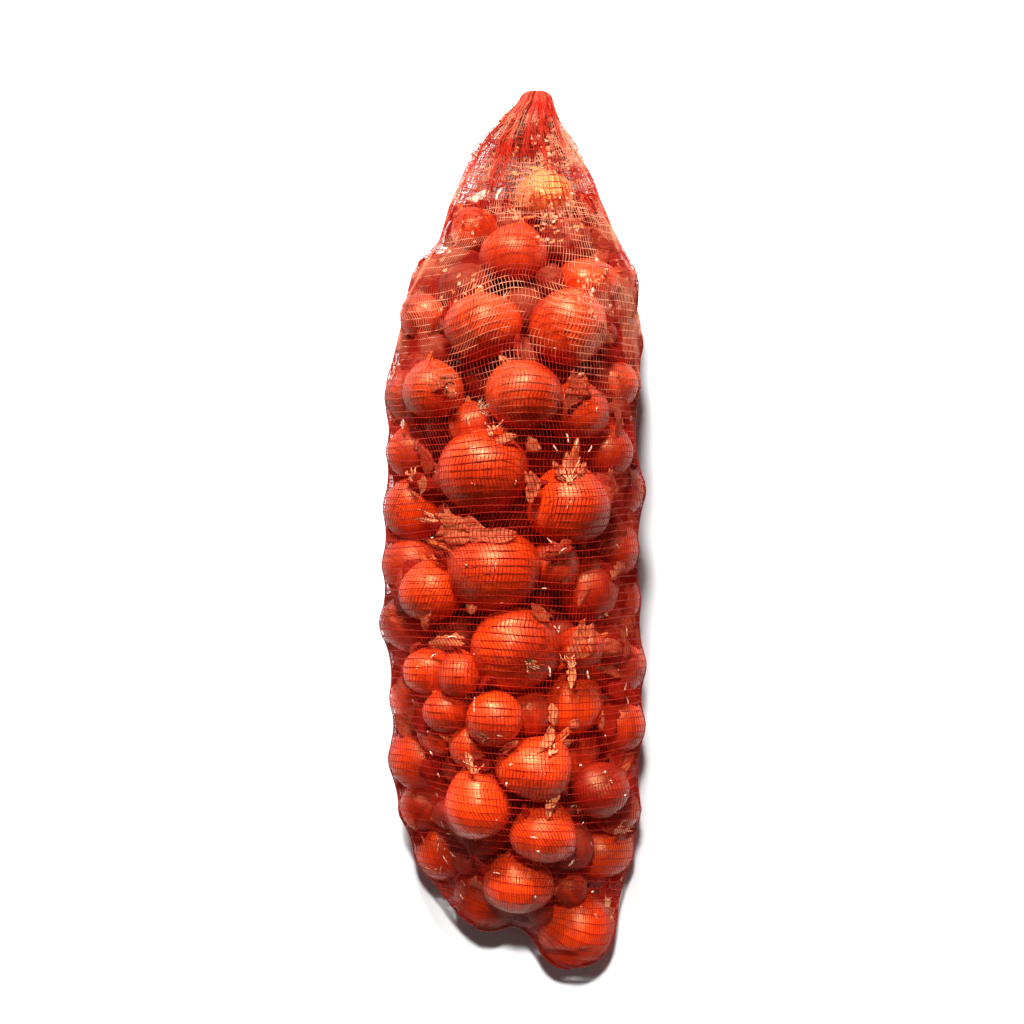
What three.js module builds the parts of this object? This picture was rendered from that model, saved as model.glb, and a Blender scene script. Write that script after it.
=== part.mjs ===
// A net of onions lying on its back: a long tubular net sack, full of onions, with the empty neck of the net
// gathered to a point at one end and the foot sewn across the other.
// Millimetres. +Z is up, +Y runs towards the neck, and the side seen in the photograph faces up.
// The net is drawn tight over its onions, so the sack is a membrane that spans from onion to onion.
import * as THREE from "three";

// ---- Driving sizes ----

const NET_STAND_OFF = 1.2; // outside of the net, measured from the skin of the onion under it
const RING_PITCH = 9; // spacing of the modelled rings along the sack
const COLUMNS = 68; // modelled points round each ring
const TIP_RINGS = 2; // rings that round the gathered tip
const SLANTED_RINGS = 11; // rings between the ones square across the sack and the slant of the foot
const FOOT_RINGS = 8; // rings that turn round the foot, down to its seam
const SEAM_THICKNESS = 2.4; // the two layers of net sewn together at the foot
const TIP_DOME = 4.8; // how far the gathered tip rounds out past its last ring
const WIDEST_SHARE = 0.46; // height of the widest place of a section, as a share of the section's height
const FULLNESS = 2.25; // exponent of the section's outline: 2 is an ellipse, more is squarer
const SPINE_SHARE = 0.34; // half the line that a section fans out from, as a share of its half width
const HOLLOW_SHARE = 0.86; // the net never falls in below this share of the plain outline's radius
const PRESSED_FLAT = 3; // the sack's weight presses flat what would hang lower than this over the floor
const SLACK_ROUNDS = 900; // passes of the membrane, each one drawing the net tighter between its onions
const HOOP_SHARE = 0.64; // share of the net's pull that runs round the sack; the rest runs along it
const SAG = 0.2; // how far each pass lets the upper side of the net sag between the onions

// Plain outline of the sack from the neck to the foot: y, left edge, right edge, and height of its top.
const OUTLINE = [
  [360, 7, 33, 19],
  [351, -3, 37, 26],
  [334, -19, 46, 34],
  [316, -33, 57, 44],
  [298, -41, 65, 56],
  [272, -53, 75, 74],
  [256, -57, 81, 87],
  [238, -62, 87, 102],
  [227, -73, 92, 112],
  [213, -81, 98, 124],
  [189, -88, 99, 141],
  [156, -92, 103, 157],
  [123, -97, 102, 166],
  [74, -100, 101, 172],
  [8, -102, 102, 175],
  [-57, -104, 101, 175],
  [-115, -99, 104, 171],
  [-164, -97, 103, 165],
  [-205, -95, 100, 155],
  [-238, -89, 101, 141],
  [-271, -77, 97, 120],
  [-290, -66, 91, 104],
  [-330, -40, 85, 72],
];
const TIGHT_END_Y = 186; // the net is drawn quite tight up to here, and less and less from here to LOOSE_FROM_Y
const LOOSE_FROM_Y = 222; // from here to the tip the net lies on the outline itself
const LOOSE_BULGE = 0.08; // onions still push the net out past the outline where it begins to be loose
const NECK_END_Y = 268; // the gathered, empty neck of the net runs from here to the tip
const NECK_FOLDS = 13; // folds that fan down from the gathered tip
const FOLD_DEPTH = 2.2; // depth of the folds at the tip, fading out at the end of the neck

// The line that the foot turns round, from its left end to its right end. The rings slant more and more
// towards it below SLANT_FROM_Y.
const FOOT_LEFT = new THREE.Vector3(-33, -274, 42);
const FOOT_RIGHT = new THREE.Vector3(50, -298, 36);
const SLANT_FROM_Y = -190;
const SHORTEST_REACH = 4; // no point of the net is nearer than this to the line that its ring fans out from

// The photograph's eye, far above the sack: places below are as seen against the level given here.
const EYE = new THREE.Vector3(0, 15, 3080);
const SEEN_LEVEL = 80;

// Onions that show on the upper side: x, y, width across, length along the sack, and how deep each one lies
// under the plain outline. An onion that is crowded by others sinks deeper.
const SHOWN = [
  [27, 275, 52, 40, 0],
  [2, 228, 56, 50, 0],
  [70, 226, 46, 50, 0],
  [-32, 246, 40, 40, 8],
  [-62, 200, 44, 50, 0],
  [-24, 168, 62, 54, 0],
  [46, 168, 62, 64, 0],
  [62, 204, 52, 40, 10],
  [80, 120, 48, 44, 0],
  [-66, 116, 50, 48, 0],
  [8, 112, 64, 56, 0],
  [-77, 154, 36, 40, 6],
  [-24, 49, 74, 68, 0],
  [-84, 64, 39, 42, 0],
  [-82, 18, 48, 54, 0],
  [46, 22, 68, 66, 0],
  [76, 64, 48, 46, 6],
  [-16, -32, 76, 66, 0],
  [-68, -50, 52, 48, 0],
  [62, -50, 50, 54, 0],
  [0, -96, 74, 66, 0],
  [-68, -116, 44, 40, 0],
  [-44, -117, 34, 40, 4],
  [48, -138, 50, 62, 0],
  [-15, -154, 46, 46, 0],
  [12, -150, 40, 42, 12],
  [55, -96, 38, 34, 12],
  [-54, -148, 40, 36, 8],
  [-60, -166, 38, 40, 4],
  [-36, -176, 34, 38, 8],
  [20, -194, 64, 52, 0],
  [-30, -222, 56, 62, 0],
  [-74, -212, 42, 44, 2],
  [26, -246, 54, 52, 0],
  [71, -212, 52, 46, 4],
  [88, -160, 40, 46, 0],
  [71, -264, 58, 50, 0],
  [4, -288, 58, 52, 0],
  [-58, -260, 48, 58, 0],
  [52, 98, 52, 48, 14],
  [34, -28, 44, 42, 16],
  [-34, 88, 40, 38, 16],
];

// Onions at the very foot, low down between the sack and the floor: x, y, z and diameter.
const AT_THE_FOOT = [
  [51, -326, 33, 65],
  [-20, -298, 37, 58],
  [14, -304, 30, 46],
];

// Onions at the widest place of the sack, where they make its bulging edges: edge x, y and diameter.
const EDGES = [
  [-92, 176, 40],
  [-105, 110, 50],
  [-107, -28, 46],
  [-109, -76, 50],
  [-101, -138, 54],
  [-102, -188, 54],
  [-94, -228, 40],
  [103, 201, 44],
  [107, 154, 54],
  [109, 33, 50],
  [103, -16, 46],
  [105, -58, 44],
  [109, -111, 52],
  [105, -229, 42],
];

// Onions out of sight, inside and underneath, start on a staggered grid and are then shaken down.
const HIDDEN_SIZES = [48, 60]; // smallest and largest diameter
const HIDDEN_ROWS = { fromY: -272, toY: 222, step: 47 };
const HIDDEN_LAYERS = [
  { z: 27, acrossStep: 50 },
  { z: 78, acrossStep: 52 },
];
const HIDDEN_START_GAP = 0.72; // a start this close to a shown onion, as a share of their radii, is left out
const SHAKE_ROUNDS = 160;
const SHAKE_STEP = 0.45; // share of an overlap that one pass takes out
const SQUEEZE = 0.9; // onions are not quite round, so they pack as if their radii were this share of the full
const SEED = 20471;

const COLOURS = { net: 0xd8341c };

// ---- Outline ----

// One column of the outline at a given y, on a smooth curve through the stations.
function outlineAt(y, column) {
  const rows = OUTLINE;
  if (y >= rows[0][0]) return rows[0][column];
  const last = rows.length - 1;
  if (y <= rows[last][0]) return rows[last][column];
  const i = rows.findIndex((row, n) => n < last && y <= row[0] && y >= rows[n + 1][0]);
  const slope = (n) => {
    const [before, after] = [rows[Math.max(n - 1, 0)], rows[Math.min(n + 1, last)]];
    return (after[column] - before[column]) / (after[0] - before[0]);
  };
  const span = rows[i + 1][0] - rows[i][0];
  const t = (y - rows[i][0]) / span;
  const share = 3 * t ** 2 - 2 * t ** 3;
  const bend = (t ** 3 - 2 * t ** 2 + t) * slope(i) + (t ** 3 - t ** 2) * slope(i + 1);
  return (1 - share) * rows[i][column] + share * rows[i + 1][column] + bend * span;
}

// A section square across the sack: its middle, half width, height, and the height of its widest place.
function sectionAt(y) {
  const [left, right, top] = [1, 2, 3].map((column) => outlineAt(y, column));
  return { x: (left + right) / 2, halfWidth: (right - left) / 2, top, widest: WIDEST_SHARE * top };
}

// Height of the centre of an onion that touches the plain outline from inside, above the widest place.
function restingHeight(x, y, radius) {
  const s = sectionAt(y);
  const room = Math.max(s.halfWidth - radius, 1);
  const t = Math.min(Math.abs(x - s.x) / room, 1);
  const lift = Math.max(s.top - s.widest - radius, 0);
  return s.widest + lift * (1 - t ** FULLNESS) ** (1 / FULLNESS);
}

// ---- Onions ----

function randomFrom(seed) {
  let state = seed;
  return () => {
    state = (state * 16807) % 2147483647;
    return state / 2147483647;
  };
}

// An onion where it really lies: a high one is nearer to the eye, so it lies closer in than it looks.
function seenOnion(x, y, z, radii) {
  const scale = (EYE.z - z) / (EYE.z - SEEN_LEVEL);
  const radius = (radii[0] + radii[1]) / 2;
  const [px, py] = [EYE.x + (x - EYE.x) * scale, EYE.y + (y - EYE.y) * scale];
  return { x: px, y: py, z, radii, radius, stays: true, ceiling: z };
}

function shownOnion([x, y, across, along, depth]) {
  const radius = (across + along) / 4;
  const z = Math.max(restingHeight(x, y, radius) - depth, radius);
  return seenOnion(x, y, z, [across / 2, along / 2, radius]);
}

function footOnion([x, y, z, size]) {
  return seenOnion(x, y, z, [size / 2, size / 2, size / 2]);
}

function edgeOnion([edge, y, size]) {
  const radius = size / 2;
  const z = Math.max(sectionAt(y).widest, radius);
  return seenOnion(edge - Math.sign(edge) * radius, y, z, [radius, radius, radius]);
}

function hiddenStarts(shown) {
  const random = randomFrom(SEED);
  const found = [];
  HIDDEN_LAYERS.forEach((layer, storey) => {
    let row = 0;
    for (let y = HIDDEN_ROWS.fromY; y <= HIDDEN_ROWS.toY; y += HIDDEN_ROWS.step) {
      row += 1;
      const s = sectionAt(y);
      const shift = ((row + storey) % 2) * 0.5;
      for (let n = -3; n <= 3; n += 1) {
        const radius = (HIDDEN_SIZES[0] + (HIDDEN_SIZES[1] - HIDDEN_SIZES[0]) * random()) / 2;
        const x = s.x + (n + shift) * layer.acrossStep + 6 * (random() - 0.5);
        const z = layer.z + 6 * (random() - 0.5);
        const inside = Math.abs(x - s.x) < s.halfWidth - radius * 0.8 && z + radius < s.top;
        const free = shown.every(
          (o) => Math.hypot(o.x - x, o.y - y, o.z - z) > HIDDEN_START_GAP * (o.radius + radius),
        );
        if (inside && free) found.push({ x, y, z, radii: [radius, radius, radius], radius, stays: false });
      }
    }
  });
  return found;
}

// Holds an onion between the floor and the plain outline, or below its first height if it shows.
function confine(onion) {
  if (onion.stays) {
    onion.z = THREE.MathUtils.clamp(onion.z, onion.radius, onion.ceiling);
    return;
  }
  const s = sectionAt(onion.y);
  const half = Math.max(s.halfWidth - onion.radius, 1);
  const rise = Math.max(s.top - s.widest - onion.radius, 1);
  const t = Math.abs(onion.x - s.x) / half;
  const u = Math.max(onion.z - s.widest, 0) / rise;
  const out = (t ** FULLNESS + u ** FULLNESS) ** (1 / FULLNESS);
  if (out > 1) {
    onion.x = s.x + (onion.x - s.x) / out;
    if (onion.z > s.widest) onion.z = s.widest + (onion.z - s.widest) / out;
  }
  onion.z = Math.max(onion.z, onion.radius);
}

// Moves an onion by a push. One that shows keeps its place in the picture, so it only rises or sinks.
function nudge(onion, push) {
  if (!onion.stays) {
    onion.x += push.x;
    onion.y += push.y;
  }
  onion.z += push.z;
}

// Pushes two onions apart if they overlap. One that shows gives way only to another that shows.
function separate(a, b) {
  const way = new THREE.Vector3(b.x - a.x, b.y - a.y, b.z - a.z);
  const overlap = SQUEEZE * (a.radius + b.radius) - way.length();
  if (overlap <= 0) return;
  if (a.stays && b.stays) way.set(0, 0, way.z > 0 ? 1 : -1);
  way.setLength(SHAKE_STEP * overlap);
  const shares = a.stays === b.stays ? [0.5, 0.5] : [a.stays ? 0 : 1, b.stays ? 0 : 1];
  nudge(a, way.clone().multiplyScalar(-shares[0]));
  nudge(b, way.clone().multiplyScalar(shares[1]));
}

// Shakes the sack until its onions hardly overlap.
function shakeDown(onions) {
  for (let round = 0; round < SHAKE_ROUNDS; round += 1) {
    onions.forEach((a, i) => onions.slice(i + 1).forEach((b) => separate(a, b)));
    onions.forEach(confine);
  }
}

function packOnions() {
  const shown = [...SHOWN.map(shownOnion), ...AT_THE_FOOT.map(footOnion), ...EDGES.map(edgeOnion)];
  const onions = [...shown, ...hiddenStarts(shown)];
  shakeDown(onions);
  return onions;
}

// ---- Net ----

// Distance from a point, along a direction, to the far side of an onion and the net over it, or 0 for a miss.
function farSide(from, way, onion) {
  const radii = onion.radii.map((r) => r + NET_STAND_OFF);
  const o = [from.x - onion.x, from.y - onion.y, from.z - onion.z].map((v, k) => v / radii[k]);
  const d = [way.x / radii[0], way.y / radii[1], way.z / radii[2]];
  const a = d[0] ** 2 + d[1] ** 2 + d[2] ** 2;
  const b = o[0] * d[0] + o[1] * d[1] + o[2] * d[2];
  const c = o[0] ** 2 + o[1] ** 2 + o[2] ** 2 - 1;
  const inside = b * b - a * c;
  return inside <= 0 ? 0 : (-b + Math.sqrt(inside)) / a;
}

// Distance from a section's spine to its plain outline along a direction, by halving.
function plainReach(from, way, section) {
  const measure = (r) => {
    const t = Math.abs(from.x + way.x * r - section.x) / section.halfWidth;
    const z = from.z + way.z * r - section.widest;
    const height = z > 0 ? section.top - section.widest : section.widest;
    return t ** FULLNESS + (Math.abs(z) / height) ** FULLNESS;
  };
  let [near, far] = [0, 2 * section.halfWidth + section.top];
  for (let n = 0; n < 30; n += 1) {
    const middle = (near + far) / 2;
    if (measure(middle) < 1) near = middle;
    else far = middle;
  }
  return near;
}

// A ring square across the sack. Its rays fan out from the line from left to right, and the net keeps between
// two shares of the plain outline's radius. Near the neck both are one, so the net lies on the outline itself.
function squareRing(y, size = 1) {
  const section = sectionAt(y);
  const half = SPINE_SHARE * section.halfWidth * size;
  const left = new THREE.Vector3(section.x - half, y, section.widest);
  const right = new THREE.Vector3(section.x + half, y, section.widest);
  const keep = THREE.MathUtils.lerp(HOLLOW_SHARE, size, THREE.MathUtils.smoothstep(y, TIGHT_END_Y, LOOSE_FROM_Y));
  const bulge = LOOSE_BULGE * (1 - THREE.MathUtils.smoothstep(y, LOOSE_FROM_Y, NECK_END_Y));
  return { left, right, turn: 0, section, keep, bulge: y > LOOSE_FROM_Y ? bulge : Infinity };
}

// The rings from the rounded tip, down the sack, over to the slant of the foot and round it to the seam.
function netRings() {
  const rings = [];
  const top = OUTLINE[0][0];
  for (let i = TIP_RINGS; i > 0; i -= 1) {
    const angle = (Math.PI / 2) * (i / (TIP_RINGS + 1));
    rings.push(squareRing(top + TIP_DOME * Math.sin(angle), Math.cos(angle)));
  }
  const count = Math.round((top - SLANT_FROM_Y) / RING_PITCH);
  for (let i = 0; i <= count; i += 1) rings.push(squareRing(top + ((SLANT_FROM_Y - top) * i) / count));
  const { left, right } = rings[rings.length - 1];
  for (let i = 1; i <= SLANTED_RINGS; i += 1) {
    const t = i / SLANTED_RINGS;
    const ease = THREE.MathUtils.smoothstep(t, 0, 1);
    const [l, r] = [left.clone().lerp(FOOT_LEFT, ease), right.clone().lerp(FOOT_RIGHT, ease)];
    l.y = THREE.MathUtils.lerp(left.y, FOOT_LEFT.y, t);
    r.y = THREE.MathUtils.lerp(right.y, FOOT_RIGHT.y, t);
    const section = sectionAt((l.y + r.y) / 2);
    rings.push({ left: l, right: r, turn: 0, section, keep: HOLLOW_SHARE * (1 - ease), bulge: Infinity });
  }
  const foot = rings[rings.length - 1];
  for (let i = 1; i <= FOOT_RINGS; i += 1) {
    rings.push({ ...foot, turn: ((Math.PI / 2) * i) / FOOT_RINGS, keep: 0 });
  }
  return rings;
}

// The ray of one column of a ring, which a point of the net slides along.
function rayOf(ring, column) {
  const angle = (2 * Math.PI * column) / COLUMNS;
  const from = new THREE.Vector3().lerpVectors(ring.left, ring.right, (1 + Math.cos(angle)) / 2);
  const way = new THREE.Vector3(
    Math.cos(angle) * Math.cos(ring.turn),
    -Math.sin(ring.turn),
    Math.sin(angle) * Math.cos(ring.turn),
  );
  const least = ring.keep > 0 ? ring.keep * plainReach(from, way, ring.section) : 0;
  const floor = way.z < 0 ? from.z / -way.z : Infinity;
  const most = ring.bulge < Infinity ? least * (1 + ring.bulge) : Infinity;
  return { from, way, least, most: Math.min(floor, most) };
}

// The neighbours of a point round the sack and along it, and the share that each has in the pull on the point.
// The seam's other layer is the neighbour past the last ring.
function neighbours(i, j, last) {
  const opposite = (COLUMNS - j) % COLUMNS;
  const [hoop, length] = [HOOP_SHARE / 2, (1 - HOOP_SHARE) / 2];
  return [
    [i, (j + 1) % COLUMNS, hoop],
    [i, (j + COLUMNS - 1) % COLUMNS, hoop],
    [Math.max(i - 1, 0), j, length],
    i < last ? [i + 1, j, length] : [i - 1, opposite, length],
  ];
}

// Draws the net tight: each point moves to where its neighbours hold it, unless an onion or the floor stops it.
function drawTight(rays, onions) {
  const last = rays.length - 1;
  const stop = rays.map((ring) =>
    ring.map((ray) => {
      const onion = Math.max(...onions.map((o) => farSide(ray.from, ray.way, o)));
      return Math.min(Math.max(onion, ray.least, SHORTEST_REACH), ray.most);
    }),
  );
  const links = rays.map((ring, i) =>
    ring.map((ray, j) =>
      neighbours(i, j, last).map(([ni, nj, share]) => {
        const other = rays[ni][nj];
        const start = other.from.clone().sub(ray.from).dot(ray.way);
        return { ni, nj, start: share * start, along: share * other.way.dot(ray.way) };
      }),
    ),
  );
  let reach = stop;
  for (let round = 0; round < SLACK_ROUNDS; round += 1) {
    const before = reach;
    reach = before.map((ring, i) =>
      ring.map((_, j) => {
        const near = links[i][j];
        const mean = near.reduce((sum, n) => sum + n.start + n.along * before[n.ni][n.nj], 0);
        const sag = SAG * Math.max(rays[i][j].way.z, 0);
        return Math.min(Math.max(mean - sag, stop[i][j]), rays[i][j].most);
      }),
    );
  }
  // The seam is one line, so the two layers that meet there share the longer reach.
  const seam = reach[last];
  reach[last] = seam.map((r, j) => Math.max(r, seam[(COLUMNS - j) % COLUMNS]));
  return rays.map((ring, i) =>
    ring.map((ray, j) => ray.from.clone().addScaledVector(ray.way, reach[i][j] - foldDepth(ray, j))),
  );
}

// How far a fold of the gathered neck lies in from the outline.
function foldDepth(ray, column) {
  const top = OUTLINE[0][0];
  const gathered = ray.from.y > top ? 0 : THREE.MathUtils.smoothstep(ray.from.y, NECK_END_Y, top);
  const wave = Math.cos((2 * Math.PI * NECK_FOLDS * column) / COLUMNS);
  return (FOLD_DEPTH * gathered * (1 + wave)) / 2;
}

// One closed shell through the rings, rounded at the tip and closed between the two layers of the seam.
function shellOf(points) {
  const last = points.length - 1;
  const lift = (j) => (Math.sin((2 * Math.PI * j) / COLUMNS) * SEAM_THICKNESS) / 2;
  points[last].forEach((p, j) => {
    p.z += lift(j);
  });
  const positions = [];
  points.flat().forEach((p) => positions.push(p.x, p.y, p.z < PRESSED_FLAT ? 0 : p.z));
  const at = (i, j) => i * COLUMNS + (j % COLUMNS);
  const faces = [];
  for (let i = 0; i < last; i += 1) {
    for (let j = 0; j < COLUMNS; j += 1) {
      faces.push(at(i, j), at(i, j + 1), at(i + 1, j));
      faces.push(at(i + 1, j), at(i, j + 1), at(i + 1, j + 1));
    }
  }
  const tip = points[0].reduce((sum, p) => sum.add(p.clone()), new THREE.Vector3()).divideScalar(COLUMNS);
  positions.push(tip.x, tip.y + TIP_DOME, tip.z);
  const tipIndex = points.length * COLUMNS;
  for (let j = 0; j < COLUMNS; j += 1) faces.push(tipIndex, at(0, j + 1), at(0, j));
  for (let j = 0; j < COLUMNS / 2; j += 1) {
    const [a, b] = [at(last, j), at(last, j + 1)];
    const [c, d] = [at(last, COLUMNS - j - 1), at(last, COLUMNS - j)];
    if (j > 0) faces.push(a, b, d);
    if (j < COLUMNS / 2 - 1) faces.push(d, b, c);
  }
  const geometry = new THREE.BufferGeometry();
  geometry.setAttribute("position", new THREE.Float32BufferAttribute(positions, 3));
  geometry.setIndex(faces);
  geometry.computeVertexNormals();
  return geometry;
}

// ---- Assembly ----

function netOfOnions() {
  const rays = netRings().map((ring) => Array.from({ length: COLUMNS }, (_, j) => rayOf(ring, j)));
  const geometry = shellOf(drawTight(rays, packOnions()));
  geometry.computeBoundingBox();
  const middle = geometry.boundingBox.getCenter(new THREE.Vector3());
  geometry.translate(-middle.x, -middle.y, 0); // the origin is under the middle of the sack
  const material = new THREE.MeshStandardMaterial({ color: COLOURS.net, roughness: 0.55, metalness: 0 });
  const mesh = new THREE.Mesh(geometry, material);
  mesh.name = "filled_net";
  return mesh;
}

const sack = new THREE.Group();
sack.add(netOfOnions());

export default sack;
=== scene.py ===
"""A net of onions lying on its back: some 190 onions with dry skins, small ones among them in the hollows,
the red net that is drawn tight over them, its gathered neck and sewn foot, and the scraps of skin, roots and
slivers that lie under the net.

Lengths are millimetres until a mesh is made. X and Y are as seen in the photograph, against the level
SEEN_LEVEL, with +Y towards the neck of the net; the whole sack is then centred on its solid in the frame."""

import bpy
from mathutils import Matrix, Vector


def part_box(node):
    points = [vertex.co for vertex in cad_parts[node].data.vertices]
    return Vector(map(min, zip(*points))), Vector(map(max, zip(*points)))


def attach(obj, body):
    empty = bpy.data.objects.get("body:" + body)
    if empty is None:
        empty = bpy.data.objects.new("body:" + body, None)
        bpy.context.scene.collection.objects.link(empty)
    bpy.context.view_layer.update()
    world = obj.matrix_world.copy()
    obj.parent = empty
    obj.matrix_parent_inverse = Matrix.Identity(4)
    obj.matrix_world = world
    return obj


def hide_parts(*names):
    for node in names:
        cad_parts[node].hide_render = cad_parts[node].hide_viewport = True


bl_info = {
    "name": "Net of Onions",
    "version": (1, 0, 0),
    "blender": (4, 5, 0),
    "location": "3D View > Sidebar > Onion Net",
    "description": "Fills a net sack with onions around its packed solid, and lights it",
    "category": "Add Mesh",
}

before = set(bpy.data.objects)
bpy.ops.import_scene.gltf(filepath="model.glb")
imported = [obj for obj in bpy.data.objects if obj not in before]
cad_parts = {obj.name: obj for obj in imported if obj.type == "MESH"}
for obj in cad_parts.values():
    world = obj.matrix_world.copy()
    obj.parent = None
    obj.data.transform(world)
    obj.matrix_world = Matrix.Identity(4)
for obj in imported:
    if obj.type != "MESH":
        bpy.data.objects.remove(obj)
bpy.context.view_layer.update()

import functools
import math

import bpy
import numpy as np
from mathutils import Vector
from mathutils.bvhtree import BVHTree

MM = 0.001
NODE = "filled_net"

# ---- The sack's plain form, as in the part's source ----

WIDEST_SHARE = 0.46  # height of the widest place of a section, as a share of the section's height
FULLNESS = 2.25  # exponent of the section's outline: 2 is an ellipse, more is squarer
SPINE_SHARE = 0.34  # half the line that a section fans out from, as a share of its half width
SAG = 0.024  # how far each pass lets the upper side of the net sag between the onions
HOLLOW_SHARE = 0.86  # the net never falls in below this share of the plain outline's radius
SHORTEST_REACH = 4.0
PRESSED_FLAT = 3.0  # the sack's weight presses flat what would hang lower than this over the floor

# Plain outline from the neck to the foot: y, left edge, right edge, and height of its top.
OUTLINE = [
    (360, 7, 33, 19), (351, -3, 37, 26), (334, -19, 46, 34), (316, -33, 57, 44), (298, -41, 65, 56),
    (272, -53, 75, 74), (256, -57, 81, 87), (238, -62, 87, 102), (227, -73, 92, 112), (213, -81, 98, 124),
    (189, -88, 99, 141),
    (156, -92, 103, 157), (123, -97, 102, 166), (74, -100, 101, 172), (8, -102, 102, 175),
    (-57, -104, 101, 175), (-115, -99, 104, 171), (-164, -97, 103, 165), (-205, -95, 100, 155),
    (-238, -89, 101, 141), (-271, -77, 97, 120), (-290, -66, 91, 104), (-330, -40, 85, 72),
]
TOP_Y = OUTLINE[0][0]
TIGHT_END_Y = 186  # the net is drawn quite tight up to here, and less and less from here to LOOSE_FROM_Y
LOOSE_FROM_Y = 222  # from here to the tip the net lies on the outline itself
LOOSE_BULGE = 0.08  # onions still push the net out past the outline where it begins to be loose
NECK_END_Y = 268  # the gathered, empty neck of the net runs from here to the tip
NECK_FOLDS = 13
NECK_CLUMPS = 54  # threads of the neck cling together into about so many strands round it
PLEATS_END_Y = 256  # netting is folded in under the outer net down to here
# Tight folds that fan down from the tip: place round the neck as a share of a turn from the right edge, width
# at the tip, and where each ends.
GATHERED_BANDS = [
    (0.345, 15.0, 276), (0.262, 4.0, 306), (0.19, 4.5, 300), (0.44, 5.0, 300), (0.10, 5.0, 310),
    (0.62, 7.0, 292), (0.76, 8.0, 300), (0.90, 6.0, 304),
]
TIP_DOME = 4.8  # how far the gathered tip rounds out past the neck
NET_RAYS = 240  # each row of the net is drawn along so many rays
FOOT_TURNS = 12  # rows in which the net turns round the line at the foot
FREE_BULGE = 99  # a bulge so large that nothing holds the net back
OUT_OF_REACH = 500.0  # no ray inside the sack is as long as this
HALVINGS = 30  # passes that find where a ray meets the plain outline

# The line that the foot turns round. Rows of the net slant more and more towards it below SLANT_FROM_Y.
FOOT_LEFT = (-33, -274, 42)
FOOT_RIGHT = (50, -298, 36)
SLANT_FROM_Y = -190

EYE = (0, 15, 3080)  # the photograph's eye, far above the sack
SEEN_LEVEL = 80

# How far rows of the net run off square, along the sack: y, then the shift at DRAPE_X.
DRAPE_X = (-100, -50, 0, 50, 100)
DRAPE = [
    (340, 0, 0, 0, 0, 0), (290, -2, 0, 2, 0, -2), (230, -8, -5, 2, 2, -4), (186, -15, -11, 9, -4, -6),
    (120, -8, -6, 4, 0, -3), (50, -5, -2, 2, 2, 5), (-20, -4, 0, 1, 0, 6), (-90, 2, 2, 0, -3, 0),
    (-150, 4, 2, 0, -2, 2), (-200, 9, 2, -2, -4, 4), (-250, 11, 2, -6, -4, 9), (-310, 6, 0, -4, 2, 10),
]

# ---- Onions ----

# Onions that show on the upper side: x, y, width across, length along the sack, how deep each lies under the
# outline; which way the neck points in the picture and towards the eye, in degrees; length of the neck, and
# tone from pale to dark. The tone is partly painted light: some onions that lie in the sack's own shade, such
# as the one at (71, -264), have paler tones.
SHOWN = [
    (27, 275, 52, 40, 0, 95, 20, 0.8, -0.15), (2, 228, 56, 50, 0, 80, 10, 0.9, 0.3),
    (70, 226, 46, 50, 0, 60, 15, 0.6, 0.15), (-32, 246, 40, 40, 8, 120, 0, 0.6, 0.3),
    (-62, 200, 44, 50, 0, 110, 10, 0.6, 0.3), (-24, 168, 62, 54, 0, 100, -20, 0.5, 0.25),
    (46, 168, 62, 64, 0, 80, 35, 0.6, 0.3), (62, 204, 52, 40, 10, 20, 0, 0.5, 0.4),
    (80, 120, 48, 44, 0, 70, -10, 0.5, 0.35), (-66, 116, 50, 48, 0, 95, 15, 0.6, 0.45),
    (8, 112, 64, 56, 0, 115, 20, 0.6, 0.45), (-77, 154, 36, 40, 6, 150, 0, 0.5, 0.1),
    (-24, 49, 74, 68, 0, 70, 10, 0.7, 0.4), (-84, 64, 39, 42, 0, 100, 0, 0.5, 0.45),
    (-82, 18, 48, 54, 0, 80, 20, 0.8, 0.35), (46, 22, 68, 66, 0, 85, 12, 1.2, 0.4),
    (76, 64, 48, 46, 6, 60, 0, 0.6, 0.6), (-16, -32, 76, 66, 0, 150, 10, 1.1, 0.4),
    (-68, -50, 52, 48, 0, 95, 10, 0.6, 0.05), (62, -50, 50, 54, 0, 120, -25, 0.6, 0.65),
    (0, -96, 74, 66, 0, 140, -58, 0.5, 0.3), (-68, -116, 44, 40, 0, 80, 5, 0.6, 0.2),
    (-44, -117, 34, 40, 4, 100, 0, 0.5, 0.35), (48, -138, 50, 62, 0, 97, 8, 1.5, 0.02),
    (-15, -154, 46, 46, 0, 60, -40, 0.6, 0.2), (12, -150, 40, 42, 12, 100, 0, 0.5, 0.6),
    (55, -96, 38, 34, 12, 30, 0, 0.6, 0.6), (-54, -148, 40, 36, 8, 120, 0, 0.5, 0.5),
    (-60, -166, 38, 40, 4, 70, 15, 0.5, 0.3), (-36, -176, 34, 38, 8, 110, 0, 0.7, 0.3),
    (20, -194, 64, 52, 0, 58, 10, 1.3, 0.25), (-30, -222, 52, 62, 0, 97, 5, 1.7, 0.15),
    (-74, -212, 42, 44, 2, 85, 0, 0.5, 0.5), (26, -246, 54, 52, 0, 80, 10, 1.4, 0.15),
    (71, -212, 52, 46, 4, 40, -10, 0.6, 0.95), (88, -160, 40, 46, 0, 100, 0, 0.5, 0.5),
    (71, -264, 58, 50, 0, 30, 5, 0.9, 0.1), (4, -288, 58, 52, 0, 95, 10, 0.6, 0.3),
    (-58, -260, 48, 58, 0, 110, 0, 0.9, 0.55), (52, 98, 52, 48, 14, 90, 0, 0.5, 0.65),
    (34, -28, 44, 42, 16, 60, 0, 0.5, 0.7), (-34, 88, 40, 38, 16, 100, 0, 0.5, 0.6),
]

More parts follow.
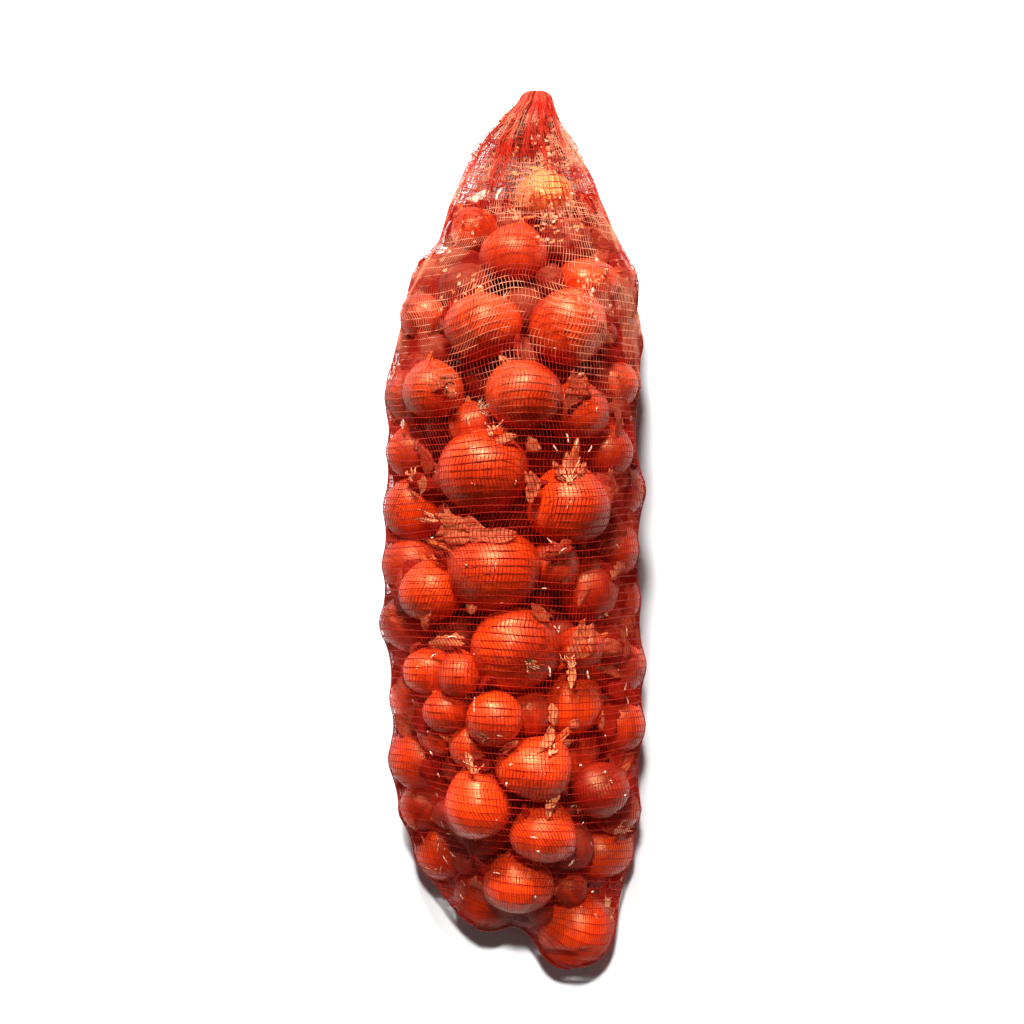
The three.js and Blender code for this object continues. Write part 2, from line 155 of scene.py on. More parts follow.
# Onions at the very foot: x, y, z and diameter; then the neck's two directions, its length and the tone.
AT_THE_FOOT = [
    (51, -326, 33, 65, 213, 5, 0.6, 0.3), (-20, -298, 37, 58, 70, 20, 0.5, 0.75),
    (14, -304, 30, 46, 90, 0, 0.5, 0.7),
]

# Onions that make the bulging edges: edge x, y and diameter.
EDGES = [
    (-92, 176, 40), (-105, 110, 50), (-107, -28, 46), (-109, -76, 50), (-101, -138, 54), (-102, -188, 54),
    (-94, -228, 40), (103, 201, 44), (107, 154, 54), (109, 33, 50), (103, -16, 46), (105, -58, 44),
    (109, -111, 52), (105, -229, 42),
]

# Onions out of sight start on a staggered grid and are then shaken down.
HIDDEN_SIZES = (48, 60)
HIDDEN_FROM_Y, HIDDEN_TO_Y, HIDDEN_STEP_Y = -272, 222, 47
HIDDEN_LAYERS = ((27, 50), (78, 52))  # height, and spacing across the sack
HIDDEN_START_GAP = 0.72
HIDDEN_JITTER = 6  # how far their starting places are spread
NEVER_MEET = 140  # onions that start farther apart than this never meet
SHAKE_ROUNDS = 160
SHAKE_STEP = 0.45
SQUEEZE = 0.9  # onions are not quite round, so they pack as if their radii were this share of the full
SEED = 20471

# Outline of an onion from the tip of its neck to the middle of its root: radius and height, in body radii.
ONION_OUTLINE = [
    (0.0, 1.36), (0.055, 1.35), (0.085, 1.28), (0.09, 1.18), (0.115, 1.08), (0.19, 1.0), (0.34, 0.925),
    (0.56, 0.80), (0.77, 0.61), (0.92, 0.36), (0.99, 0.09), (0.99, -0.18), (0.93, -0.43), (0.80, -0.65),
    (0.60, -0.82), (0.37, -0.93), (0.20, -0.965), (0.135, -0.975), (0.10, -0.945), (0.0, -0.93),
]
SHOULDER = 0.96  # height where the neck begins, in body radii
UNDER_LOOSE_NET = 3.5  # onions under the loose net lie this much deeper than where they would touch it
SHOWN_ONION = (35, 48)  # rings and columns of the mesh of an onion that shows
HIDDEN_ONION = (18, 24)
ONION_GROUPS = 8  # pieces that the onions are joined into, from the neck to the foot
FILLER_STEP = 7.0  # spacing of the places tried for the small onions that fill the hollows
FILLER_RADII = (10.5, 24.0)
FILLER_OVERLAP = 0.92  # they may come this near to another onion, as a share of its radius
CELL_MARGIN, CELL_USED = 0.03, 0.94  # shares of a cell of the bake map

# ---- Scraps under the net ----

# Large papery skins: x, y, heading in degrees, length, width, curl, tone from pale to dark.
LARGE_SKINS = [
    (46, 50, 95, 22, 9, 0.6, 0.7), (56, 48, 60, 20, 7, 0.7, 0.75), (36, 50, 120, 18, 7, 0.6, 0.7),
    (16, 34, 95, 24, 12, 0.6, 0.75), (-34, 1, 176, 50, 22, 0.3, 0.75),
    (-52, 8, 155, 30, 14, 0.5, 0.7), (-16, -4, 10, 30, 14, 0.4, 0.8), (51, 111, 70, 28, 20, 0.5, 0.85),
    (34, -16, 20, 28, 15, 0.6, 0.9), (-56, -90, 5, 32, 12, 0.5, 0.6), (56, -93, 60, 34, 22, 0.4, 0.75),
    (88, -31, 15, 26, 12, 0.6, 0.6), (60, -84, 130, 24, 10, 0.7, 0.7), (-29, 278, 5, 20, 10, 0.5, -0.4),
    (34, -150, 100, 18, 8, 0.5, 0.5), (-5, 74, 20, 18, 8, 0.5, 0.6), (-91, 86, 100, 9, 5, 0.3, -0.4),
    (86, 88, 80, 24, 12, 0.6, 0.8), (-72, -72, 60, 22, 9, 0.5, 0.7), (30, -224, 70, 20, 8, 0.6, 0.2),
    (-36, -186, 100, 16, 7, 0.6, 0.4), (27, -170, 60, 24, 9, 0.6, 0.55), (49, -118, 95, 18, 7, 0.6, 0.35),
]
# Pale slivers: x, y, heading, length, width.
SLIVERS = [
    (-64, -101, 20, 9, 1.6), (61, -87, 70, 7, 1.4), (-31, -139, 92, 13, 1.0), (-11, -164, 160, 6, 1.6),
    (61, -116, 110, 8, 1.4), (29, -113, 100, 9, 1.8), (92, -127, 50, 8, 1.2), (94, -139, 120, 7, 1.2),
    (-34, -184, 60, 5, 1.8), (-2, -187, 30, 4, 2.0), (55, -189, 0, 3, 2.2), (-5, -204, 80, 4, 1.6),
    (75, -196, 20, 3, 2.2), (80, -204, 140, 4, 1.6), (20, -259, 0, 3, 2.4), (48, -271, 60, 8, 1.6),
    (18, -299, 90, 3, 2.4), (66, -298, 10, 3, 2.0), (-42, -291, 120, 6, 1.2), (-11, 277, 80, 16, 3.0),
    (-58, -240, 70, 9, 1.0), (-53, -248, 30, 8, 1.0), (-62, -262, 60, 12, 0.9), (-56, -272, 110, 9, 0.9),
    (-60, -281, 65, 10, 0.9), (-50, -266, 150, 7, 1.0), (-43, -303, 120, 7, 1.0), (-75, -255, 80, 6, 1.0),
    (40, -16, 35, 8, 1.2), (30, -8, 140, 7, 1.2), (-50, -86, 10, 10, 1.4), (52, 70, 75, 9, 1.6),
    (44, 74, 100, 8, 1.4), (62, 66, 50, 8, 1.2), (34, 66, 125, 9, 1.3),
]
# Patches of small flakes under the loose end of the net: x from and to, y from and to, number. The pale
# flakes are partly painted light: pale specks in the shaded neck.
FLAKE_PATCHES = [
    (14, 38, 287, 349, 60), (28, 75, 238, 344, 90), (-62, -27, 164, 275, 26), (14, 55, 236, 262, 16),
    (60, 92, 172, 232, 24), (30, 71, 186, 206, 14), (-40, 14, 290, 340, 24),
]
# Torn necks that end in papery strands: x, y, heading, spread in degrees, number of strands, length.
TORN_NECKS = [
    (46, 38, 100, 85, 9, 24), (30, -180, 55, 50, 5, 18), (-30, -196, 100, 50, 5, 15),
    (30, -226, 70, 60, 6, 14), (48, -112, 95, 50, 5, 16), (-60, 8, 165, 60, 6, 22),
    (27, 292, 90, 60, 5, 12), (2, 254, 85, 50, 5, 14), (-18, 76, 80, 60, 5, 14),
    (84, -250, 30, 70, 7, 16), (-84, 40, 80, 60, 5, 14),
]
# Root tufts: x, y, heading, spread in degrees, number of roots, length.
TUFTS = [
    (-28, 97, 20, 150, 26, 9), (-36, 92, 250, 120, 14, 7), (12, -108, 300, 70, 12, 12),
    (78, -313, 30, 140, 26, 11), (82, -322, 350, 100, 14, 9), (-8, 186, 60, 60, 8, 8),
]
# Numbers of pieces at random places all round the net.
SCRAPS_ALL_ROUND = 170
# Dark skins in the hollows of the sides and under the loose net: their dark tone is painted shade.
SIDE_SKINS = 1500  # tried, of which those on the sides are kept
LOW_SKINS = 150
SLIVERS_ALL_ROUND = 120
ROOTS_PER_ONION = 12

# ---- Light and camera, in metres ----

KEY_FROM = (-0.5, 3.95, 3.3)
KEY_AT_HEIGHT = 0.06  # the main light shines at the middle of the sack, this high
KEY_SIZE = 1.3
FOOT_LIGHT_AT = (0.035, -0.36, 0.04)
FOOT_LIGHT_FROM = (-0.1, 1.5, 3.2)
FOOT_LIGHT_DEGREES = 6.6
FOOT_LIGHT_SOFTNESS = 0.2
EYE_ASIDE = (-0.8, 0, 0)  # millimetres, frames the sack as the photograph does
FLOOR_REACH = 6  # half the width of the floor


def random_from(seed):
    """The same simple random numbers as in the part's source."""
    state = seed
    while True:
        state = state * 16807 % 2147483647
        yield state / 2147483647


# ---- Plain outline ----

def outline_at(y):
    """Left edge, right edge and top of the plain outline, on a smooth curve through its stations."""
    rows = np.array(OUTLINE[::-1], float)
    at = rows[:, 0]
    before = np.maximum(np.arange(len(at)) - 1, 0)
    after = np.minimum(np.arange(len(at)) + 1, len(at) - 1)
    slopes = (rows[after, 1:] - rows[before, 1:]) / (at[after] - at[before])[:, None]
    y = np.clip(np.asarray(y, float), at[0], at[-1])
    i = np.clip(np.searchsorted(at, y) - 1, 0, len(at) - 2)
    span = (at[i + 1] - at[i])[..., None]
    t = (y - at[i])[..., None] / span
    share = 3 * t**2 - 2 * t**3
    bend = (t**3 - 2 * t**2 + t) * slopes[i] + (t**3 - t**2) * slopes[i + 1]
    return (1 - share) * rows[i, 1:] + share * rows[i + 1, 1:] + bend * span


def section_at(y):
    """Middle, half width, height of the top and height of the widest place of the section at y."""
    left, right, top = np.moveaxis(outline_at(y), -1, 0)
    return (left + right) / 2, (right - left) / 2, top, WIDEST_SHARE * top


def resting_height(x, y, radius):
    """Height of the centre of an onion that touches the plain outline from inside."""
    middle, half, top, widest = section_at(y)
    t = min(abs(x - middle) / max(half - radius, 1), 1)
    return widest + max(top - widest - radius, 0) * (1 - t**FULLNESS) ** (1 / FULLNESS)


# ---- Packing ----

class Onion:
    """One onion: its place, its radii, whether it shows and so keeps its x and y, and how it looks."""

    def __init__(self, x, y, z, radii, shows, looks):
        self.x, self.y, self.z = float(x), float(y), float(z)
        self.radii = radii
        self.radius = (radii[0] + radii[1]) / 2
        self.shows = shows
        self.ceiling = float(z)
        self.turn, self.tip, self.neck, self.tone = looks


def seen_onion(x, y, z, radii, looks):
    """An onion where it really lies: a high one is nearer to the eye, so it lies closer in than it looks."""
    scale = (EYE[2] - z) / (EYE[2] - SEEN_LEVEL)
    return Onion(EYE[0] + (x - EYE[0]) * scale, EYE[1] + (y - EYE[1]) * scale, z, radii, True, looks)


def any_looks(rng):
    return rng.uniform(0, 360), rng.uniform(-40, 40), rng.uniform(0.4, 0.8), rng.uniform(0.45, 0.95)


def shown_onions():
    rng = np.random.default_rng(5)
    found = []
    for x, y, across, along, depth, *looks in SHOWN:
        radius = (across + along) / 4
        z = max(resting_height(x, y, radius) - depth, radius)
        found.append(seen_onion(x, y, z, (across / 2, along / 2, radius), looks))
    for x, y, z, size, *looks in AT_THE_FOOT:
        found.append(seen_onion(x, y, z, (size / 2,) * 3, looks))
    for edge, y, size in EDGES:
        z = max(section_at(y)[3], size / 2)
        x = edge - math.copysign(size / 2, edge)
        found.append(seen_onion(x, y, z, (size / 2,) * 3, any_looks(rng)))
    return found


def hidden_onions(shown):
    rng = np.random.default_rng(6)
    draw = random_from(SEED)
    smallest, largest = HIDDEN_SIZES
    found = []
    for storey, (height, across_step) in enumerate(HIDDEN_LAYERS):
        for row, y in enumerate(range(HIDDEN_FROM_Y, HIDDEN_TO_Y + 1, HIDDEN_STEP_Y), start=1):
            middle, half, top, _ = section_at(y)
            shift = (row + storey) % 2 * 0.5
            for n in range(-3, 4):
                radius = (smallest + (largest - smallest) * next(draw)) / 2
                x = middle + (n + shift) * across_step + HIDDEN_JITTER * (next(draw) - 0.5)
                z = height + HIDDEN_JITTER * (next(draw) - 0.5)
                inside = abs(x - middle) < half - radius * 0.8 and z + radius < top
                free = all(math.dist((o.x, o.y, o.z), (x, y, z)) > HIDDEN_START_GAP * (o.radius + radius)
                           for o in shown)
                if inside and free:
                    found.append(Onion(x, y, z, (radius,) * 3, False, any_looks(rng)))
    return found


def separate(a, b):
    """Pushes two onions apart if they overlap. One that shows gives way only to another that shows."""
    dx, dy, dz = b.x - a.x, b.y - a.y, b.z - a.z
    apart = math.sqrt(dx * dx + dy * dy + dz * dz)
    overlap = SQUEEZE * (a.radius + b.radius) - apart
    if overlap <= 0:
        return
    if a.shows and b.shows:
        dx, dy, dz, apart = 0.0, 0.0, 1.0 if dz > 0 else -1.0, 1.0
    step = SHAKE_STEP * overlap / apart
    share_a = 0.5 if a.shows == b.shows else float(not a.shows)
    if not a.shows:
        a.x -= dx * step * share_a
        a.y -= dy * step * share_a
    a.z -= dz * step * share_a
    share_b = 1 - share_a
    if not b.shows:
        b.x += dx * step * share_b
        b.y += dy * step * share_b
    b.z += dz * step * share_b


def confine(onion):
    """Holds an onion between the floor and the plain outline, or below its first height if it shows."""
    if onion.shows:
        onion.z = min(max(onion.z, onion.radius), onion.ceiling)
        return
    middle, half, top, widest = (float(v) for v in section_at(onion.y))
    t = abs(onion.x - middle) / max(half - onion.radius, 1)
    u = max(onion.z - widest, 0) / max(top - widest - onion.radius, 1)
    out = (t**FULLNESS + u**FULLNESS) ** (1 / FULLNESS)
    if out > 1:
        onion.x = middle + (onion.x - middle) / out
        if onion.z > widest:
            onion.z = widest + (onion.z - widest) / out
    onion.z = max(onion.z, onion.radius)


@functools.cache
def packed_onions():
    """All onions of the sack, shaken until they hardly overlap."""
    onions = shown_onions()
    onions += hidden_onions(onions)
    near = [(a, b) for i, a in enumerate(onions) for b in onions[i + 1:]
            if math.dist((a.x, a.y), (b.x, b.y)) < NEVER_MEET]
    for _ in range(SHAKE_ROUNDS):
        for a, b in near:
            separate(a, b)
        for onion in onions:
            confine(onion)
    return onions


# ---- Net surface ----

def unit(vectors):
    return vectors / np.maximum(np.linalg.norm(vectors, axis=-1, keepdims=True), 1e-9)


def smooth_curve(points, count):
    """Points evenly spread in number along a Catmull-Rom curve through the given ones."""
    points = np.array(points, float)
    padded = np.vstack((2 * points[0] - points[1], points, 2 * points[-1] - points[-2]))
    t = np.linspace(0, len(points) - 1, count)
    i = np.minimum(t.astype(int), len(points) - 2)
    f = (t - i)[:, None]
    a, b, c, d = (padded[i + k] for k in range(4))
    return 0.5 * (2 * b + (c - a) * f + (2 * a - 5 * b + 4 * c - d) * f**2 + (3 * b - a - 3 * c + d) * f**3)


def smoothstep(value, low, high):
    t = np.clip((value - low) / (high - low), 0, 1)
    return t * t * (3 - 2 * t)


def table_at(table, knots, x, y):
    """A smooth surface through a table of rows (y, then one value for each knot in x)."""
    rows = np.array(table[::-1], float)
    steps = 40
    fine_y = smooth_curve(rows, 12 * len(rows))
    fine = np.stack([smooth_curve(np.stack((knots, row[1:]), 1), steps + 1)[:, 1] for row in fine_y])
    row = np.interp(y, fine_y[:, 0], np.arange(len(fine)))
    column = np.interp(x, knots, np.linspace(0, steps, len(knots)))
    i, j = np.minimum(row.astype(int), len(fine) - 2), np.minimum(column.astype(int), steps - 1)
    f, g = row - i, column - j
    top = fine[i, j] * (1 - g) + fine[i, j + 1] * g
    return top * (1 - f) + (fine[i + 1, j] * (1 - g) + fine[i + 1, j + 1] * g) * f


def row_drape(x, y, front):
    """How far a row of the net runs off square at a place, as it hangs over the onions."""
    x, y = np.broadcast_arrays(x, y)
    return np.where(front, table_at(DRAPE, DRAPE_X, x, y), -0.6 * table_at(DRAPE, DRAPE_X, -x, y + 30))


def ripple(shape, seed, waves_across=(2, 26), waves_along=(2, 26)):
    """Smooth, uneven values between about -1 and 1 over a grid that closes on itself across."""
    rng = np.random.default_rng(seed)
    v, u = np.meshgrid(np.linspace(0, 1, shape[0]), np.arange(shape[1]) / shape[1], indexing="ij")
    total = 0
    for _ in range(14):
        across, along = rng.integers(*waves_across), rng.uniform(*waves_along)
        wave = np.sin(2 * math.pi * (across * u + along * v) + rng.uniform(0, 6.3))
        total = total + wave * rng.choice((-1, 1))
    return total / 4


def net_rows(pitch):
    """The rows of the net from the neck to the seam: ends of the line that each fans out from, how far it
    turns round the foot, its y, the share of the outline that it keeps, and how far it may bulge past it."""
    rows = []
    for y in np.linspace(TOP_Y, SLANT_FROM_Y, round((TOP_Y - SLANT_FROM_Y) / pitch) + 1):
        middle, half, _, widest = (float(v) for v in section_at(y))
        half *= SPINE_SHARE
        keep = HOLLOW_SHARE + (1 - HOLLOW_SHARE) * float(smoothstep(y, TIGHT_END_Y, LOOSE_FROM_Y))
        bulge = FREE_BULGE
        if y > LOOSE_FROM_Y:
            bulge = LOOSE_BULGE * (1 - float(smoothstep(y, LOOSE_FROM_Y, NECK_END_Y)))
        rows.append(((middle - half, y, widest), (middle + half, y, widest), 0, y, keep, bulge))
    left, right = np.array(rows[-1][0]), np.array(rows[-1][1])
    foot_left, foot_right = np.array(FOOT_LEFT, float), np.array(FOOT_RIGHT, float)
    slanted = round((SLANT_FROM_Y - (foot_left[1] + foot_right[1]) / 2) / pitch)
    for t in np.arange(1, slanted + 1) / slanted:
        ease = float(smoothstep(t, 0, 1))
        share = np.array((ease, t, ease))
        start = left + (foot_left - left) * share
        end = right + (foot_right - right) * share
        rows.append((start, end, 0, (start[1] + end[1]) / 2, HOLLOW_SHARE * (1 - ease), FREE_BULGE))
    for turn in np.linspace(0, math.pi / 2, FOOT_TURNS + 1)[1:]:
        rows.append((foot_left, foot_right, turn, rows[-1][3], 0, FREE_BULGE))
    return [np.array(column, float) for column in zip(*rows)]


def plain_reach(start, way, y):
    """Distance from the starts of rays to the plain outline along them, by halving."""
    middle, half, top, widest = (v[:, None] for v in section_at(y))
    near, far = np.zeros(start.shape[:2]), np.full(start.shape[:2], OUT_OF_REACH)
    for _ in range(HALVINGS):
        mid = (near + far) / 2
        t = np.abs(start[..., 0] + way[..., 0] * mid - middle) / half
        z = start[..., 2] + way[..., 2] * mid - widest
        inside = t**FULLNESS + (np.abs(z) / np.where(z > 0, top - widest, widest)) ** FULLNESS < 1
        near, far = np.where(inside, mid, near), np.where(inside, far, mid)
    return near


def far_side(start, way, onion, stand_off):
    """Distance along rays to the far side of an onion and the net over it, or 0 for a miss."""
    radii = np.array(onion.radii) + stand_off
    o = (start - (onion.x, onion.y, onion.z)) / radii
    d = way / radii
    a, b, c = (d * d).sum(-1), (o * d).sum(-1), (o * o).sum(-1) - 1
    inside = b * b - a * c
    return np.where(inside > 0, (-b + np.sqrt(np.maximum(inside, 0))) / a, 0)


def past_seam(grid):
    """The row past the last one is the other layer's row before it."""
    return np.roll(grid[-2:-1, ::-1], 1, axis=1)


def draw_tight(start, way, stop, most, rounds, hoop):
    """Each point of the net moves to where its neighbours pull it, unless an onion or the floor stops it."""
    def pull(grid):
        up = np.concatenate((grid[:1], grid[:-1]))
        down = np.concatenate((grid[1:], past_seam(grid)))
        return (np.roll(grid, 1, 1), np.roll(grid, -1, 1), up, down)

    shares = (hoop / 2, hoop / 2, (1 - hoop) / 2, (1 - hoop) / 2)
    along = [share * (w * way).sum(-1) for share, w in zip(shares, pull(way))]
    offset = sum(share * ((s - start) * way).sum(-1) for share, s in zip(shares, pull(start)))
    sag = SAG * np.maximum(way[..., 2], 0)
    reach = stop.copy()
    for _ in range(rounds):
        mean = offset + sum(a * r for a, r in zip(along, pull(reach))) - sag
        reach = np.clip(mean, stop, most)
    return reach


def spread_evenly(points, y, count, bunching, clumping):
    """Spreads the points of each closed row evenly along it, or bunches them by a share into the folds, and
    by another into small clumps that wander along the sack."""
    out = np.empty((len(points), count, 3))
    even = np.arange(count) / count
    turn = 2 * math.pi
    for i, row in enumerate(points):
        wander = 1.9 * math.sin(y[i] / 7) + 1.3 * math.sin(y[i] / 3.1 + 2)
        wander = wander + 2.5 * np.sin(turn * 3 * even + y[i] / 18)
        clump = np.sin(turn * NECK_CLUMPS * even + wander) / (turn * NECK_CLUMPS)
        shift = bunching[i] * fold_shift(even) + clumping[i] * clump
        loop = np.vstack((row, row[:1]))
        length = np.concatenate(([0], np.cumsum(np.linalg.norm(np.diff(loop, axis=0), axis=1))))
        at = (even + shift) % 1.0 * length[-1]
        for k in range(3):
            out[i, :, k] = np.interp(at, length, loop[:, k])
    return out


def fold_phase(u):
    """Phase of the neck's folds round the neck: uneven, as folds are."""
    turn = 2 * math.pi
    return turn * (NECK_FOLDS * u + 0.5 * np.sin(turn * 2 * u + 0.6) + 0.3 * np.sin(turn * 5 * u + 2.1))


def fold_shift(u):
    """Shift that bunches threads on the crests of the folds."""
    return np.sin(fold_phase(u)) / (2 * math.pi * NECK_FOLDS)


def normals_of(grid):
    across = np.roll(grid, -1, 1) - np.roll(grid, 1, 1)
    up = np.concatenate((grid[:1], grid[:-1]))
    down = np.concatenate((grid[1:], past_seam(grid)))
    normal = np.cross(across, up - down)
    return -normal / np.maximum(np.linalg.norm(normal, axis=-1, keepdims=True), 1e-9)


class Net:
    """The net's surface: a grid of rows and columns of threads, and its outward normals."""

    def __init__(self, sizes):
        left, right, turn, y, keep, bulge = net_rows(sizes.row_pitch)
        angle = 2 * math.pi * np.arange(NET_RAYS) / NET_RAYS
        cos, sin = np.cos(angle), np.sin(angle)
        start = left[:, None] + (right - left)[:, None] * ((1 + cos) / 2)[None, :, None]
        flat = np.cos(turn)[:, None]
        way = np.stack((cos * flat, np.repeat(-np.sin(turn)[:, None], NET_RAYS, 1), sin * flat), -1)
        least = keep[:, None] * plain_reach(start, way, y)
        hang = smoothstep(-y, -TOP_Y, -NECK_END_Y) * (1 - 0.6 * smoothstep(-y, 180, 260)) * np.cos(turn)
        start[..., 1] += hang[:, None] * row_drape(start[..., 0] + cos * least, y[:, None], sin[None] > -0.2)
        floor = np.where(way[..., 2] < -1e-9, start[..., 2] / np.maximum(-way[..., 2], 1e-9), np.inf)
        held = bulge[:, None] < FREE_BULGE
        most = np.minimum(floor, np.where(held, least * (1 + bulge[:, None]), np.inf))
        stop = np.maximum(least, SHORTEST_REACH)
        for onion in packed_onions():
            stop = np.maximum(stop, far_side(start, way, onion, sizes.stand_off))
        stop = np.minimum(stop, most)
        reach = draw_tight(start, way, stop, most, sizes.tension_rounds, sizes.hoop_share)
        surface = start + way * reach[..., None]
        seam = surface[-1]
        twin = np.roll(seam[::-1], 1, axis=0)
        surface[-1] = np.where((seam[:, 1] < twin[:, 1])[:, None], seam, twin)
        surface[..., 2] = np.where(surface[..., 2] < PRESSED_FLAT, 0, surface[..., 2])
        box = np.array(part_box(NODE)) / MM
        low, high = surface.min((0, 1)), surface.max((0, 1))
        high[1] += TIP_DOME * (1 + math.sin(math.pi / 3))
        self.shift = (box[0] + box[1]) / 2 - (low + high) / 2
        self.shift[2] = 0
        self.y = y
        self.gathered = smoothstep(y, NECK_END_Y - 40, TOP_Y) * (turn == 0)
        clumping = sizes.clumping * smoothstep(y, LOOSE_FROM_Y - 10, NECK_END_Y + 30) * (turn == 0)
        self.plain = spread_evenly(surface, y, sizes.columns, self.gathered * sizes.bunching, clumping)
        self.grid = self.crumpled(self.plain, sizes)
        self.normal = normals_of(self.grid)
        rows, count = self.grid.shape[:2]
        index = np.arange(rows * count).reshape(rows, count)
        quads = np.stack((index[:-1], index[1:], np.roll(index[1:], -1, 1), np.roll(index[:-1], -1, 1)), -1)
        self.tree = BVHTree.FromPolygons(self.grid.reshape(-1, 3).tolist(), quads.reshape(-1, 4).tolist())

    def crumpled(self, plain, sizes):
        """The surface with the folds of the neck pressed in, and with the small unevenness of netting."""
        normal = normals_of(plain)
        even = np.arange(plain.shape[1]) / plain.shape[1]
        crest = (1 + np.cos(fold_phase(even))) / 2
        folds = (sizes.fold_depth * smoothstep(self.y, NECK_END_Y - 20, TOP_Y) * (self.gathered > 0))[:, None]
        loose = smoothstep(self.y, LOOSE_FROM_Y - 10, NECK_END_Y + 50)[:, None] * (self.gathered > 0)[:, None]
        inward = folds * crest * (1 - 0.35 * ripple(plain.shape[:2], 3))
        inward = inward + loose * (1 + ripple(plain.shape[:2], 4))
        side = unit(np.roll(plain, -1, 1) - np.roll(plain, 1, 1))
        along = np.cross(normal, side)
        uneven = 1 + 2.4 * loose * (1 - 0.6 * smoothstep(self.y, NECK_END_Y + 30, TOP_Y)[:, None])
        sideways = sizes.unevenness * 0.5 * uneven * ripple(plain.shape[:2], 1)
        lengthways = sizes.unevenness * uneven * ripple(plain.shape[:2], 2, (1, 12), (8, 50))
        out = plain - normal * inward[..., None] + side * sideways[..., None] + along * lengthways[..., None]
        out[-1] = plain[-1]
        out[..., 2] = np.maximum(out[..., 2], 0.5)
        return out

    def ring_at(self, row, u):
        """Places and normals on a row of the net, at shares of the way round it."""
        count = self.grid.shape[1]
        at = np.asarray(u) % 1.0 * count
        i = at.astype(int) % count
        f = (at - np.floor(at))[..., None]
        low = int(row)
        g = row - low
        found = []
        for grid in (self.grid, self.normal):
            rings = grid[low] * (1 - g) + grid[min(low + 1, len(grid) - 1)] * g
            found.append(rings[i] * (1 - f) + rings[(i + 1) % count] * f)
        return found[0], unit(found[1])

    def over(self, x, y):
        """The place on the upper side of the net over x and y, and its normal."""
        place, normal, _, _ = self.tree.ray_cast(Vector((x, y, 400)), Vector((0, 0, -1)))
        if place is None:
            place, normal, _, _ = self.tree.find_nearest(Vector((x, y, 60)))
        return np.array(place), np.array(normal if normal.z > 0 else -normal)

    def depth_of(self, point, reach=1e4):
        """How deep a point lies under the net, less than 0 outside, with the nearest place and its normal."""
        place, _, index, _ = self.tree.find_nearest(Vector(point), reach)
        if place is None:
            return reach, None, None
        normal = Vector(self.normal.reshape(-1, 3)[index])
        away = place - Vector(point)
        return math.copysign(away.length, away.dot(normal)), place, normal

    def tuck_in(self, points, clear):
        """Moves points that would stick out through the net back to just inside it."""
        out = points.copy()
        middle, _, _, widest = section_at(points[:, 1])
        for i, point in enumerate(points):
            depth, place, normal = self.depth_of(point, 40)
            if depth < clear:
                out[i] = place - normal * clear
                continue
            inward = Vector((middle[i], point[1], widest[i])) - Vector(point)
            place, _, _, _ = self.tree.ray_cast(Vector(point), inward.normalized(), inward.length)
            if place is not None:
                out[i] = place + inward.normalized() * clear
        return out


@functools.cache
def sack_net():
    """The net's surface, worked out once."""
    return Net(bpy.context.scene.onion_net_sizes)


# ---- Mesh making ----

class Batch:
    """Collects vertices, faces and attributes of many small shapes for one piece."""

    def __init__(self, attributes=()):
        self.vertices, self.faces, self.count = [], [], 0
        self.attributes = {name: [] for name in attributes}
        self.corners = []

    def add(self, vertices, faces, corners=None, **values):
        vertices = np.asarray(vertices, float).reshape(-1, 3)
        faces = np.asarray(faces)
        self.vertices.append(vertices)
        self.faces.append(faces + self.count)
        self.count += len(vertices)
        for name, value in values.items():
            self.attributes[name].append(np.broadcast_to(value, (len(vertices),) + np.shape(value)[1:]))
        if corners is not None:
            self.corners.append(corners.reshape(-1, 2))

    def piece(self, name, material, slot):
        """Makes the piece in metres, centred on the frame's solid, and hands it to the frame."""
        points = (np.concatenate(self.vertices) + sack_net().shift) * MM
        mesh = bpy.data.meshes.new(name)
        sizes = [f.shape[1] for f in self.faces]
        loops = np.concatenate([f.reshape(-1) for f in self.faces])
        totals = np.concatenate([np.full(len(f), s) for f, s in zip(self.faces, sizes)])
        mesh.vertices.add(len(points))
        mesh.vertices.foreach_set("co", points.reshape(-1))
        mesh.loops.add(len(loops))
        mesh.loops.foreach_set("vertex_index", loops.astype(np.int32))
        mesh.polygons.add(len(totals))
        starts = np.concatenate(([0], np.cumsum(totals)[:-1]))
        mesh.polygons.foreach_set("loop_start", starts.astype(np.int32))
        mesh.polygons.foreach_set("loop_total", totals.astype(np.int32))
        mesh.polygons.foreach_set("use_smooth", np.ones(len(totals), bool))
        if self.corners:
            layer = mesh.uv_layers.new(name="OFBake")
            layer.data.foreach_set("uv", np.concatenate(self.corners).reshape(-1).astype(np.float32))
        for attribute, parts in self.attributes.items():
            values = np.concatenate(parts)
            kind, field = ("FLOAT_VECTOR", "vector") if values.ndim == 2 else ("FLOAT", "value")
            layer = mesh.attributes.new(attribute, kind, "POINT")
            layer.data.foreach_set(field, values.reshape(-1).astype(np.float32))
        mesh.update(calc_edges=True)
        mesh.validate()
        mesh.materials.append(material)
        piece = bpy.data.objects.new(name, mesh)
        bpy.context.scene.collection.objects.link(piece)
        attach(piece, "root")
        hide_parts(NODE)


def thread_mesh(points, normals, width, thickness, closed):
    """Flat threads along rows of points (threads, points, 3), with four corners to their section."""
    threads, count = points.shape[:2]
    if closed:
        along = np.roll(points, -1, 1) - np.roll(points, 1, 1)
    else:
        along = np.gradient(points, axis=1)
    side = unit(np.cross(unit(along), normals))
    corners = ((1, 0), (0, 1), (-1, 0), (0, -1))
    section = [points + side * (a * width[..., None] / 2) + normals * (b * thickness / 2) for a, b in corners]
    vertices = np.stack(section, 2)
    index = np.arange(threads * count * 4).reshape(threads, count, 4)
    here, there = (index, np.roll(index, -1, 1)) if closed else (index[:, :-1], index[:, 1:])
    faces = np.stack((here, there, np.roll(there, -1, 2), np.roll(here, -1, 2)), -1).reshape(-1, 4)
    if not closed:
        caps = np.concatenate((index[:, 0], index[:, -1, ::-1]))
        faces = np.concatenate((faces, caps))
    return vertices, faces, index


